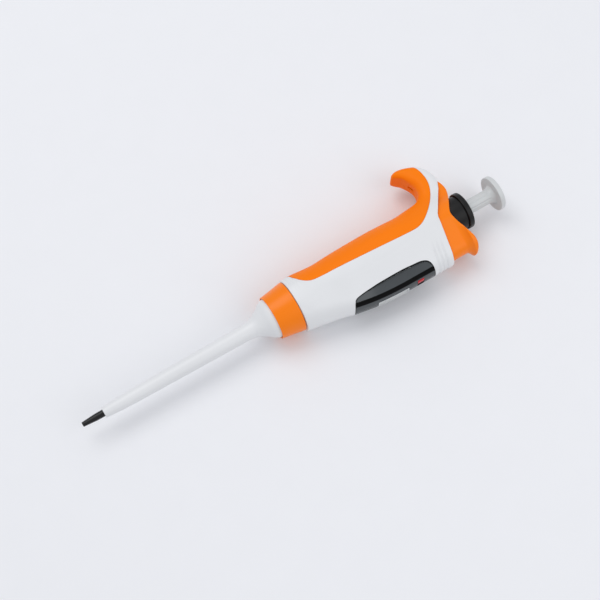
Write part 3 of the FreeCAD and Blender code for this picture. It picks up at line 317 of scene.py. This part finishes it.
def cell_points(cells, face_corners, crossings, normals, low, counts, cell):
    """For each cell, the point nearest to the tangent planes of the crossings around it."""
    owner = face_corners.ravel()
    spots = np.repeat(crossings, 4, axis=0)
    planes = np.repeat(normals, 4, axis=0)
    number = len(cells)
    total = np.bincount(owner, minlength=number)
    centre = np.column_stack(
        [np.bincount(owner, spots[:, i], number) / total for i in range(3)]
    )
    offset = np.einsum("ij,ij->i", planes, spots - centre[owner])
    matrix = np.empty((number, 3, 3))
    side = np.empty((number, 3))
    for i in range(3):
        side[:, i] = np.bincount(owner, planes[:, i] * offset, number)
        for j in range(3):
            matrix[:, i, j] = np.bincount(owner, planes[:, i] * planes[:, j], number)
    matrix += np.eye(3) * (CENTRE_PULL * total)[:, None, None]
    points = centre + np.linalg.solve(matrix, side[..., None])[..., 0]
    corner = np.column_stack(np.unravel_index(cells, counts)) * cell + np.asarray(low)
    return np.clip(points, corner, corner + cell)


# ---------------------------------------------------------------- form of the handle

# Sections of the handle: the hull of a circle of back_r on the axis and a circle of front_r
# whose centre lies front_y in front of it.
STATIONS = np.array([
    # x, back_r, front_y, front_r
    (112.0, 13.8, 0.4, 13.6),
    (117.8, 13.9, 1.2, 13.4),
    (123.0, 14.1, 3.0, 12.4),
    (135.0, 13.2, 7.3, 10.3),
    (145.0, 13.65, 11.0, 9.1),
    (156.0, 14.0, 13.6, 8.2),
    (168.0, 14.16, 14.6, 8.0),
    (180.0, 13.8, 14.7, 8.0),
    (190.0, 13.1, 14.7, 8.1),
    (198.0, 13.1, 14.7, 8.1),
    (222.0, 13.1, 14.7, 8.1),
])
STATION_CURVE = spline(STATIONS, 24)
HANDLE_START_X = 117.8
SIDE_FLAT_Z = 13.7
GRIP_THICKNESS = 1.0
BACK_WALL = 2.0
FRONT_WALL = 1.5
FLOOR_BOTTOM_X = 121.7
FLOOR_TOP_X = 123.0
SPIGOT_RADIUS = 12.0
SPIGOT_START_X = 113.8
SPIGOT_END_X = 119.0
FOOT_BORE_RADIUS = 10.95
NUT_BORE_RADIUS = 6.95
ROD_HOLE_Y = 8.6
ROD_HOLE_RADIUS = 1.1
FRONT_RINGS_X = (193.7, 196.1, 198.5)
BACK_RINGS_X = (119.4, 121.2, 123.0)

# The edge of the handle's open top end, which leans back in front and climbs the hook behind.
OPEN_END_EDGE = np.array([
    # y, x
    (-40.0, 196.1),
    (-1.0, 202.1),
    (1.0, 203.0),
    (5.6, 206.4),
    (14.2, 212.9),
    (19.8, 216.0),
    (40.0, 226.0),
])

# The hook's free outline, from its root on the finger side over its tip to its back edge.
HOOK_CURVE = [
    (184.0, 8.0),
    (190.0, 11.4),
    (195.6, 12.5),
    (200.0, 14.0),
    (202.9, 17.2),
    (203.8, 21.2),
    (203.0, 25.0),
    (200.8, 29.4),
    (198.2, 31.7),
    (196.8, 33.0),
    (197.6, 34.2),
    (200.6, 34.6),
    (205.0, 34.0),
    (209.6, 32.2),
    (213.1, 29.4),
    (215.3, 25.6),
    (216.3, 21.0),
    (216.3, 16.5),
    (215.0, 9.0),
    (211.0, 0.0),
]
HOOK_OUTLINE = np.vstack([spline(HOOK_CURVE), [(184.0, 0.0)]])
HOOK_HALF_WIDTH = 7.5
HOOK_SLOT_X = 202.0
HOOK_SLOT_Y = 24.2

# Edge of the soft grip: from a point near the collar, along the side, up the side of the hook.
GRIP_CURVE = [
    (121.6, 17.0),
    (122.4, 12.6),
    (123.6, 8.4),
    (125.6, 5.3),
    (128.6, 3.1),
    (132.4, 2.2),
    (145.0, 1.6),
    (157.0, 0.9),
    (179.5, -0.4),
    (188.6, -0.6),
    (192.0, 0.0),
    (194.9, 1.3),
    (198.6, 4.0),
    (202.0, 7.1),
    (205.2, 10.5),
    (207.6, 13.7),
    (209.4, 17.0),
    (210.4, 20.4),
    (210.6, 24.0),
    (210.0, 28.5),
    (208.8, 33.0),
    (207.0, 40.0),
]
GRIP_OUTLINE = np.vstack([spline(GRIP_CURVE), [(121.6, 40.0)]])

# Edge of the window: slanted lower end, arched long edge, rounded upper end.
WINDOW_CURVE = [
    (138.6, -26.0),
    (141.6, -20.2),
    (143.4, -17.0),
    (144.8, -15.6),
    (148.6, -14.95),
    (153.4, -14.6),
    (158.0, -14.35),
    (164.5, -14.3),
    (172.0, -14.35),
    (178.2, -14.75),
    (182.9, -15.2),
    (185.9, -16.5),
    (187.2, -18.6),
    (187.6, -21.5),
    (187.4, -26.0),
]
WINDOW_OUTLINE = spline(WINDOW_CURVE)


def station(x, column):
    """A number of the handle's sections at x: back_r 1, front_y 2 or front_r 3."""
    return np.interp(x, STATION_CURVE[:, 0], STATION_CURVE[:, column])


def hull_of_circles(y, z, back_r, front_y, front_r):
    """Signed distance in a section to the hull of a circle on the axis and one in front of it."""
    slope = (back_r - front_r) / front_y
    rise = np.sqrt(np.maximum(1 - slope * slope, 0.0))
    across, forward = np.abs(z), -y
    along = -slope * across + rise * forward
    flank = rise * across + slope * forward - back_r
    near = np.hypot(across, forward) - back_r
    far = np.hypot(across, forward - front_y) - front_r
    return np.where(along < 0, near, np.where(along > rise * front_y, far, flank))


def egg(x, y, z, back_less=0.0, front_less=0.0):
    """The handle's body without its ends, thinner than the outside by the given amounts."""
    return hull_of_circles(
        y, z, station(x, 1) - back_less, station(x, 2), station(x, 3) - front_less
    )


def hook(x, y, z):
    """The finger hook as a slab with well rounded edges, narrower towards its tip."""
    field = np.full(x.shape, 30.0)
    near = (x > 176.0) & (y > -8.0)
    x, y, z = x[near], y[near], z[near]
    beak = smoothstep(208.0 - x, 0.0, 9.0) * smoothstep(y, 22.0, 29.0)
    end = np.clip((201.0 - x) / 5.5, 0.0, 1.0) * smoothstep(y, 26.0, 30.0)
    taper = 0.8 * beak + 4.0 * (1 - np.sqrt(1 - end * end))
    outline = polygon(x, y, HOOK_OUTLINE)
    field[near] = round_max(outline, np.abs(z) - HOOK_HALF_WIDTH + taper, 4.0 - 2.0 * beak)
    return field


def open_end(x, y):
    """Below the handle's open top end."""
    edge_y, edge_x = OPEN_END_EDGE.T
    lean = np.interp(y, edge_y[:-1], np.diff(edge_x) / np.diff(edge_y))
    return (x - np.interp(y, edge_y, edge_x)) / np.sqrt(1 + lean * lean)


def outside(x, y, z):
    """The whole outside of the handle, before its open end is cut."""
    body = smooth_min(egg(x, y, z), hook(x, y, z), 5.0)
    return round_max(body, np.abs(z) - SIDE_FLAT_Z, 1.0)


def grip_layer(x, y, outer, clearance):
    """The space of the soft grip: the outer layer of the handle inside the grip's edge."""
    region = polygon(x, y, GRIP_OUTLINE) - clearance
    return np.maximum(region, -(outer + GRIP_THICKNESS + clearance))


def grip_rings(x, y, z):
    """Depth of the shallow rings around the front of the neck and the back of the foot."""
    depth = np.zeros(x.shape)
    front = smoothstep(-y, 8.0, 15.0)
    for ring_x in FRONT_RINGS_X:
        depth += 0.42 * front * np.exp(-(((x - 0.155 * y - ring_x) / 0.5) ** 2))
    back = smoothstep(y, -2.0, 8.0)
    for ring_x in BACK_RINGS_X:
        depth += 0.22 * back * np.exp(-(((x - ring_x) / 0.5) ** 2))
    return depth


def window_region(x, y):
    """Signed distance to the window's edge, seen from the side."""
    return polygon(x, y, WINDOW_OUTLINE)


def cavity(x, y, z):
    """The hollow of the handle's body, without its ends."""
    return egg(x, y, z, BACK_WALL, FRONT_WALL)


def fin_room(x, y, z):
    """The slot in which the ejector button's fin slides, wider where the fin joins the button."""
    way = np.minimum(fin_outline(x, y), fin_outline(x + EJECTOR_TRAVEL, y)) - 0.6
    width = FIN_ROOM_HALF_WIDTH + 1.4 * smoothstep(10.8 - y, 0.0, 1.0)
    return np.maximum(np.abs(z) - width, way)


def shell_field(x, y, z):
    """The white body of the handle, with its hollows and with room for the grip and window."""
    outer = outside(x, y, z)
    solid = round_max(outer + grip_rings(x, y, z), open_end(x, y), 0.35)
    solid = round_max(solid, HANDLE_START_X - x, 0.5)
    radius = np.hypot(y, z)
    spigot = np.maximum(radius - SPIGOT_RADIUS, np.maximum(SPIGOT_START_X - x, x - SPIGOT_END_X))
    solid = np.minimum(solid, spigot)
    hollows = (
        np.maximum(cavity(x, y, z), FLOOR_BOTTOM_X - x),
        fin_room(x, y, z),
        np.maximum(radius - FOOT_BORE_RADIUS, x - HANDLE_START_X),
        np.maximum(radius - NUT_BORE_RADIUS, x - FLOOR_TOP_X),
        np.maximum(np.hypot(y - ROD_HOLE_Y, z) - ROD_HOLE_RADIUS, x - FLOOR_TOP_X),
        window_region(x, y),
        grip_layer(x, y, outer, 0.04),
    )
    for hollow in hollows:
        solid = np.maximum(solid, -hollow)
    return solid


def hook_slot(x, y, z):
    """The slot in the finger side of the hook."""
    length = np.abs(y - HOOK_SLOT_Y) - 1.7
    width = np.abs(z) - 1.1
    return np.maximum(round_max(length, width, 0.8), np.abs(x - HOOK_SLOT_X) - 4.0)


def grip_field(x, y, z):
    """The soft grip, a layer let into the back of the handle and up the hook."""
    outer = outside(x, y, z)
    region = polygon(x, y, GRIP_OUTLINE) + 0.03
    skin = round_max(round_max(outer - 0.05, region, 0.18), open_end(x, y), 0.3)
    skin = np.maximum(skin, -(outer + GRIP_THICKNESS - 0.03))
    return np.maximum(skin, -hook_slot(x, y, z))


# ---------------------------------------------------------------- window

WINDOW_GAP = 0.3
CREASE_DEPTH = 2.3
FACET_TOP_Y = -13.0
CREASE_RISE = 0.6
COUNTER_OPENING = (154.9, 171.5)
COUNTER_HALF_WIDTH = 1.7
COUNTER_BAND = 0.3
LOCK_RECESS = (176.9, 180.8)
LOCK_RECESS_Z = 0.7
LOCK_FLOOR_Y = -21.7


def half_width(x, y):
    """Half the handle's width in the round of its front."""
    reach = -y - station(x, 2)
    return np.sqrt(np.maximum(station(x, 3) ** 2 - reach * reach, 0.0))


def window_outside(x, y, z):
    """Two side facets and a flatter front, which meet in creases along the window."""
    nose = station(x, 2) + station(x, 3)
    crease_y = CREASE_DEPTH - nose
    top = half_width(x, np.full(x.shape, FACET_TOP_Y))
    crease = half_width(x, crease_y) + CREASE_RISE
    slope = (top - crease) / (FACET_TOP_Y - crease_y)
    facet = (np.abs(z) - (crease + (y - crease_y) * slope)) / np.sqrt(1 + slope * slope)
    front_r = (crease * crease + CREASE_DEPTH**2) / (2 * CREASE_DEPTH)
    front = np.hypot(z, y + nose - front_r) - front_r
    return np.maximum(facet, front)


def counter_opening(x, z, margin):
    """The opening over the drums, larger all round by the margin."""
    low, high = COUNTER_OPENING
    middle, half = (low + high) / 2, (high - low) / 2 + margin
    return round_max(np.abs(x - middle) - half, np.abs(z) - COUNTER_HALF_WIDTH - margin, 0.4)


def lock_recess(x, y, z):
    """The hollow in the window in which the slider moves."""
    low, high = LOCK_RECESS
    across = np.abs(x - (low + high) / 2) - (high - low) / 2
    outline = round_max(across, np.abs(z - LOCK_RECESS_Z) - 2.8, 0.4)
    return np.maximum(outline, y - LOCK_FLOOR_Y)


def window_field(x, y, z):
    """The window, open at the counter and hollowed for the slider of the lock."""
    solid = round_max(window_outside(x, y, z) + 0.04, window_region(x, y) + WINDOW_GAP, 0.12)
    opening = np.maximum(counter_opening(x, z, COUNTER_BAND / 2), y + 14.0)
    for hollow in (cavity(x, y, z), opening, lock_recess(x, y, z)):
        solid = np.maximum(solid, -hollow)
    return solid


def painted_crease_reflection_field(x, y, z):
    """Painted dark reflection: a dark band over each crease of the window, standing in for the dark
    that the front reflects there.
    """
    outer = window_outside(x, y, z)
    nose = station(x, 2) + station(x, 3)
    reflection_band = np.abs(y - (CREASE_DEPTH - nose) + 0.35) - 0.9
    reflection_band = np.maximum(reflection_band, window_region(x, y) + WINDOW_GAP)
    return np.maximum(np.maximum(outer + 0.02, -(outer + 0.4)), reflection_band)


def counter_frame_field(x, y, z):
    """A light lining of the opening that shows the drums."""
    lining = np.maximum(counter_opening(x, z, COUNTER_BAND), -counter_opening(x, z, 0.0))
    return np.maximum(np.maximum(lining, window_outside(x, y, z) - 0.04), y + 19.9)


def edge_field(x, y, z):
    """The dark joint between the window and the handle."""
    joint = np.abs(window_region(x, y) + 0.12) - 0.2
    outer = egg(x, y, z)
    return np.maximum(joint, np.maximum(outer + 0.03, -(outer + 0.5)))


# ---------------------------------------------------------------- ejector button

RIM_CURVE = [
    (210.6, -25.4),
    (212.6, -23.9),
    (213.7, -21.4),
    (213.8, -18.4),
    (213.2, -15.4),
    (212.2, -12.0),
    (210.9, -7.5),
    (209.9, -3.6),
    (209.6, -1.2),
    (210.7, 1.4),
    (213.1, 5.2),
    (215.4, 8.8),
    (216.7, 11.8),
    (216.9, 14.6),
    (216.3, 17.4),
    (215.0, 20.0),
]
RIM_OUTLINE = np.vstack([spline(RIM_CURVE), [(213.0, 20.0), (196.0, -7.7), (196.0, -25.4)]])
FIN_OUTLINE = np.array([(200.4, -1.0), (213.2, 19.9), (220.0, 19.9), (220.0, -1.0)])
FIN_HALF_WIDTH = 5.6
FIN_ROOM_HALF_WIDTH = 6.0
EJECTOR_TRAVEL = 6.0
LIP_START_X = 208.2
LIP_END_X = 211.6
LIP_FLARE = 2.9
BUTTON_BACK_RADIUS = 10.75
BUTTON_FRONT_Y = 14.7
BUTTON_FRONT_RADIUS = 6.15
BUTTON_WALL = 1.05
BUTTON_BORE_RADIUS = 6.2
KNOB_ROOM_RADIUS = 9.35
KNOB_ROOM_START_X = 206.0


def fin_outline(x, y):
    """Signed distance to the outline of the button's fin, seen from the side."""
    return polygon(x, y, FIN_OUTLINE)


def ejector_field(x, y, z):
    """The ejector button: a skirt with a flared lip in front and a fin behind the knob."""
    flare = np.clip((x - LIP_START_X) / (LIP_END_X - LIP_START_X), 0.0, 1.0) ** 2
    front_r = BUTTON_FRONT_RADIUS + LIP_FLARE * flare
    body = hull_of_circles(y, z, BUTTON_BACK_RADIUS, BUTTON_FRONT_Y, front_r)
    fin = round_max(fin_outline(x, y), np.abs(z) - FIN_HALF_WIDTH, 1.6)
    solid = smooth_min(body, fin, 3.0)
    solid = round_max(solid, polygon(x, y, RIM_OUTLINE), 0.8)
    radius = np.hypot(y, z)
    back_r, front_r = BUTTON_BACK_RADIUS - BUTTON_WALL, BUTTON_FRONT_RADIUS - BUTTON_WALL
    inside = hull_of_circles(y, z, back_r, BUTTON_FRONT_Y, front_r)
    hollows = (
        np.maximum(radius - KNOB_ROOM_RADIUS, KNOB_ROOM_START_X - x),
        radius - BUTTON_BORE_RADIUS,
        np.maximum(inside, np.maximum(x - 204.0, y - 11.0)),
        np.maximum(inside, np.maximum(x - 207.4, y + 10.5)),
    )
    for hollow in hollows:
        solid = np.maximum(solid, -hollow)
    return solid


# ---------------------------------------------------------------- materials


def node_material(name):
    """A new node material, its node tree and its shader."""
    material = bpy.data.materials.new(name)
    material.use_nodes = True
    tree = material.node_tree
    return material, tree, tree.nodes["Principled BSDF"]


def plastic(name, colour, roughness, grain_mm=0.35, grain=0.08, mottle=0.04, specular=0.5):
    """Moulded plastic: a fine grain in the surface, and slightly uneven colour and gloss."""
    material, tree, shader = node_material(name)
    place = tree.nodes.new("ShaderNodeTexCoord")
    fine = tree.nodes.new("ShaderNodeTexNoise")
    fine.inputs["Scale"].default_value = 1.0 / (grain_mm * MM)
    fine.inputs["Detail"].default_value = 3.0
    tree.links.new(place.outputs["Object"], fine.inputs["Vector"])
    broad = tree.nodes.new("ShaderNodeTexNoise")
    broad.inputs["Scale"].default_value = 60.0
    broad.inputs["Detail"].default_value = 4.0
    tree.links.new(place.outputs["Object"], broad.inputs["Vector"])
    tint = tree.nodes.new("ShaderNodeMix")
    tint.data_type = "RGBA"
    low = [max(c * (1 - mottle), 0.0) for c in colour]
    high = [min(c * (1 + mottle), 1.0) for c in colour]
    tint.inputs["A"].default_value = (*low, 1.0)
    tint.inputs["B"].default_value = (*high, 1.0)
    tree.links.new(broad.outputs["Fac"], tint.inputs["Factor"])
    tree.links.new(tint.outputs["Result"], shader.inputs["Base Color"])
    gloss = tree.nodes.new("ShaderNodeMapRange")
    gloss.inputs["To Min"].default_value = roughness * 0.88
    gloss.inputs["To Max"].default_value = min(roughness * 1.12, 1.0)
    tree.links.new(fine.outputs["Fac"], gloss.inputs["Value"])
    tree.links.new(gloss.outputs["Result"], shader.inputs["Roughness"])
    bump = tree.nodes.new("ShaderNodeBump")
    bump.inputs["Strength"].default_value = grain
    bump.inputs["Distance"].default_value = 0.02 * MM
    tree.links.new(fine.outputs["Fac"], bump.inputs["Height"])
    tree.links.new(bump.outputs["Normal"], shader.inputs["Normal"])
    shader.inputs["Specular IOR Level"].default_value = specular
    shader.inputs["IOR"].default_value = 1.47
    return material


def metal(name, colour, roughness):
    """Turned metal, with fine lines around the axis."""
    material, tree, shader = node_material(name)
    place = tree.nodes.new("ShaderNodeTexCoord")
    lines = tree.nodes.new("ShaderNodeTexNoise")
    stretch = tree.nodes.new("ShaderNodeMapping")
    stretch.inputs["Scale"].default_value = (9000.0, 300.0, 300.0)
    tree.links.new(place.outputs["Object"], stretch.inputs["Vector"])
    tree.links.new(stretch.outputs["Vector"], lines.inputs["Vector"])
    gloss = tree.nodes.new("ShaderNodeMapRange")
    gloss.inputs["To Min"].default_value = roughness * 0.8
    gloss.inputs["To Max"].default_value = roughness * 1.25
    tree.links.new(lines.outputs["Fac"], gloss.inputs["Value"])
    tree.links.new(gloss.outputs["Result"], shader.inputs["Roughness"])
    tint = tree.nodes.new("ShaderNodeMix")
    tint.data_type = "RGBA"
    tint.inputs["A"].default_value = (*[c * 0.9 for c in colour], 1.0)
    tint.inputs["B"].default_value = (*colour, 1.0)
    tree.links.new(lines.outputs["Fac"], tint.inputs["Factor"])
    tree.links.new(tint.outputs["Result"], shader.inputs["Base Color"])
    shader.inputs["Metallic"].default_value = 1.0
    return material


BLACK = (0.008, 0.008, 0.008)
MATERIALS = {
    "shell_white": plastic("shell_plastic", (0.775, 0.78, 0.785), 0.36, mottle=0.02),
    "grip_orange": plastic("grip_rubber", (1.0, 0.212, 0.0), 0.5, 0.28, 0.25, 0.02, specular=0.15),
    "trim_orange": plastic("trim_plastic", (1.0, 0.222, 0.0), 0.32, mottle=0.02, specular=0.3),
    "nozzle_black": plastic("nozzle_plastic", BLACK, 0.26, mottle=0.2, specular=0.35),
    "knob_black": plastic("knob_plastic", BLACK, 0.4, 0.3, 0.3, 0.2, specular=0.28),
    "button_grey": plastic("button_plastic", (0.62, 0.635, 0.63), 0.33, mottle=0.02),
    "window_dark": plastic("window_plastic", (0.055, 0.062, 0.066), 0.16, 0.6, 0.02, 0.2),
    "mask_light": plastic("mask_plastic", (0.78, 0.79, 0.79), 0.4),
    "lock_red": plastic("lock_plastic", (0.55, 0.01, 0.02), 0.3),
    "frame_grey": plastic("frame_plastic", (0.12, 0.125, 0.13), 0.5),
    "bearing_brass": metal("bearing_metal", (0.78, 0.57, 0.25), 0.3),
    "steel": metal("steel_metal", (0.62, 0.63, 0.64), 0.28),
    "gear_white": plastic("gear_plastic", (0.8, 0.8, 0.78), 0.42),
    "seal_white": plastic("seal_plastic", (0.85, 0.85, 0.82), 0.5),
    "seal_black": plastic("seal_rubber", (0.015, 0.015, 0.015), 0.6),
}


def dress_nodes():
    """Give every CAD node the procedural material of its slot."""
    for part in frame["record"]["subparts"]:
        node = frame["nodes"].get(part["node"])
        if node is None:
            continue
        for place in node.material_slots:
            place.material = MATERIALS[part["material_slot"]]


# ---------------------------------------------------------------- turned pieces


def make_nozzle():
    corners = [
        (0.0, 0.4),
        (0.0, 1.2, 0.35),
        (7.3, 1.75),
        (11.3, 1.78),
        (13.0, 1.95),
        (98.0, 2.7),
        (100.5, 5.3),
        (121.8, 5.3),
        (121.8, 6.4),
        (123.8, 6.4),
        (123.8, 4.3),
        (101.5, 4.3),
        (101.5, 0.95),
        (30.0, 0.95),
        (29.5, 0.4),
    ]
    piece = revolved("tip_cone_and_shaft", corners, 96)
    finished(piece, "handle", "nozzle_black", MATERIALS["nozzle_black"], "nozzle_shaft")


def make_sleeve():
    outer = spline([
        (11.9, 2.72),
        (16.0, 3.06),
        (21.6, 3.36),
        (30.0, 3.56),
        (40.6, 3.7),
        (65.0, 3.98),
        (86.0, 4.2),
        (92.0, 4.42),
        (96.0, 5.25),
        (99.6, 7.35),
        (102.6, 9.6),
        (105.2, 10.55),
        (108.0, 10.6),
    ])
    corners = [(11.5, 2.15), (11.5, 2.68, 0.2), *map(tuple, outer), (113.5, 10.6, 0.2)]
    corners += [(113.5, 9.85), (104.5, 9.85), (101.3, 7.4), (97.9, 5.3), (94.4, 3.85)]
    corners += [(89.2, 3.5), (40.6, 2.95), (21.6, 2.6)]
    piece = revolved("ejector_sleeve_form", corners)
    finished(piece, "ejector", "shell_white", MATERIALS["shell_white"], "ejector_sleeve")


def make_collar():
    corners = [
        (105.0, 10.95, 0.12),
        (105.0, 11.45, 0.2),
        (111.0, 12.35),
        (117.5, 13.5, 0.25),
        (117.5, 12.02),
        (113.8, 12.02),
        (113.8, 10.95),
    ]
    piece = revolved("trumpet_collar", corners, 160)
    finished(piece, "handle", "trim_orange", MATERIALS["trim_orange"], "handle_collar")


def make_knob():
    corners = [
        (209.0, 7.8),
        (209.0, 9.0, 0.3),
        (217.0, 9.0),
        (217.0, 8.6),
        (217.5, 8.6),
        (217.5, 9.85, 0.35),
        (220.4, 9.85, 0.7),
        (220.4, 5.6, 0.2),
        (219.2, 5.1),
        (219.2, 3.95),
        (218.4, 3.95),
        (218.4, 5.2),
        (210.0, 5.2),
        (210.0, 6.1),
        (215.0, 6.1),
        (215.0, 7.8),
    ]
    piece = revolved("volume_knob_form", corners, 160)
    finished(piece, "dial", "knob_black", MATERIALS["knob_black"], "volume_knob")


def make_plunger_stem():
    flutes = 8

    def fluted(x, r, angle):
        depth = 0.34 * smoothstep(235.2 - x, 0.0, 1.6) * (r > 1.0)
        return r - depth * np.maximum(np.cos(flutes * angle), 0.0) ** 3

    levels = [(202.0 + step * 2.0, 3.8) for step in range(1, 16)]
    flare = spline([(233.4, 3.8), (235.0, 3.95), (236.4, 4.5), (237.3, 5.4)], 6)
    corners = [(202.0, 0.0), (202.0, 3.8), *levels, *map(tuple, flare), (237.3, 0.0)]
    piece = revolved("plunger_stem_form", corners, 192, fluted)
    finished(piece, "plunger", "button_grey", MATERIALS["button_grey"], "plunger_stem")


def make_push_button():
    corners = [
        (237.1, 0.0),
        (237.1, 9.35, 0.35),
        (240.0, 9.35, 0.8),
        (239.75, 6.0),
        (239.6, 0.0),
    ]
    piece = revolved("push_button_form", corners, 160)
    finished(piece, "plunger", "button_grey", MATERIALS["button_grey"], "push_button")


# ---------------------------------------------------------------- shaped pieces


def make_handle():
    low, high = (112.6, -24.2, -14.6), (218.2, 36.2, 14.6)
    shell = contoured("handle_shell_form", shell_field, low, high, 0.45)
    finished(shell, "handle", "shell_white", MATERIALS["shell_white"], "handle_shell")
    grip = contoured("hand_grip_form", grip_field, low, high, 0.4)
    finished(grip, "handle", "grip_orange", MATERIALS["grip_orange"], "hand_grip")


def make_window():
    low, high = (139.0, -24.6, -10.4), (189.4, -11.6, 10.4)
    window = contoured("window_form", window_field, low, high, 0.3)
    finished(window, "handle", "window_dark", MATERIALS["window_dark"], "window_cover")
    # This dark material paints the reflection along the creases and colours the real dark joint
    # round the window.
    joint_and_reflection_black = plastic("painted_reflection_and_joint_black", (0.002, 0.002, 0.002), 0.3, specular=0.08)
    crease_reflections = contoured("window_painted_crease_reflections", painted_crease_reflection_field, low, high, 0.2)
    finished(crease_reflections, "handle", "window_dark", joint_and_reflection_black)
    joint = contoured("window_joint", edge_field, low, high, 0.16)
    finished(joint, "handle", "window_dark", joint_and_reflection_black)
    low, high = (153.2, -24.0, -3.8), (173.4, -17.6, 3.8)
    bezel = contoured("counter_frame", counter_frame_field, low, high, 0.14)
    finished(bezel, "handle", "mask_light", MATERIALS["mask_light"])


def make_ejector_button():
    low, high = (195.2, -26.6, -12.6), (218.6, 21.6, 12.6)
    button = contoured("ejector_button_form", ejector_field, low, high, 0.32)
    finished(button, "ejector", "trim_orange", MATERIALS["trim_orange"], "ejector_button")


# ---------------------------------------------------------------- floor, light and camera


def make_floor():
    half = 3.0
    corners = [(-half, -half), (half, -half), (half, half), (-half, half)]
    mesh = bpy.data.meshes.new("floor")
    mesh.from_pydata([(x, y, FLOOR_Z) for x, y in corners], [], [(0, 1, 2, 3)])
    mesh.materials.append(
        plastic("floor_paper", (0.86, 0.863, 0.88), 0.7, mottle=0.01, specular=0.2)
    )
    floor = linked("floor", mesh)


def make_camera():
    """Aim the camera, rolled so that the pipette's axis climbs to the right; its right and up."""
    position = Vector((-0.1117, -0.1930, 0.5694))
    target = Vector((0.0023, -0.0039, 0.0137))
    climb = math.radians(29.4)
    forward = (target - position).normalized()
    axis = Vector((1, 0, 0))
    along = (axis - forward * axis.dot(forward)).normalized()
    upward = (-forward).cross(along)
    right = along * math.cos(climb) - upward * math.sin(climb)
    up = along * math.sin(climb) + upward * math.cos(climb)
    turn = Matrix((right, up, -forward)).transposed().to_4x4()
    data = bpy.data.cameras.new("camera")
    data.lens = 72.0
    data.sensor_width = 36.0
    camera = linked("camera", data)
    camera.matrix_world = Matrix.Translation(position) @ turn
    bpy.context.scene.camera = camera
    return right, up


def make_light(name, place, power):
    """A soft round light that faces the middle of the pipette."""
    data = bpy.data.lights.new(name, "AREA")
    data.shape = "DISK"
    data.size = 0.9
    data.energy = power
    light = linked(name, data)
    light.location = place
    aim = Vector((0.02, 0.0, 0.01)) - place
    light.rotation_euler = aim.to_track_quat("-Z", "Y").to_euler()


def make_lights(right, up):
    """A large soft key from the upper left of the view, a weaker fill, and a pale surround."""
    world = bpy.data.worlds.new("studio")
    world.use_nodes = True
    background = world.node_tree.nodes["Background"]
    background.inputs["Color"].default_value = (0.93, 0.95, 1.0, 1.0)
    background.inputs["Strength"].default_value = 0.66
    bpy.context.scene.world = world
    make_light("key", -right * 0.45 + up * 0.45 + Vector((0, 0, 1.0)), 5.2)
    make_light("fill", right * 0.7 - up * 0.3 + Vector((0, 0, 0.8)), 2.0)


make_nozzle()
make_sleeve()
make_collar()
make_knob()
make_plunger_stem()
make_push_button()
make_handle()
make_window()
make_ejector_button()
dress_nodes()
make_floor()
view_right, view_up = make_camera()
make_lights(view_right, view_up)

bpy.context.scene.view_settings.view_transform = "Standard"
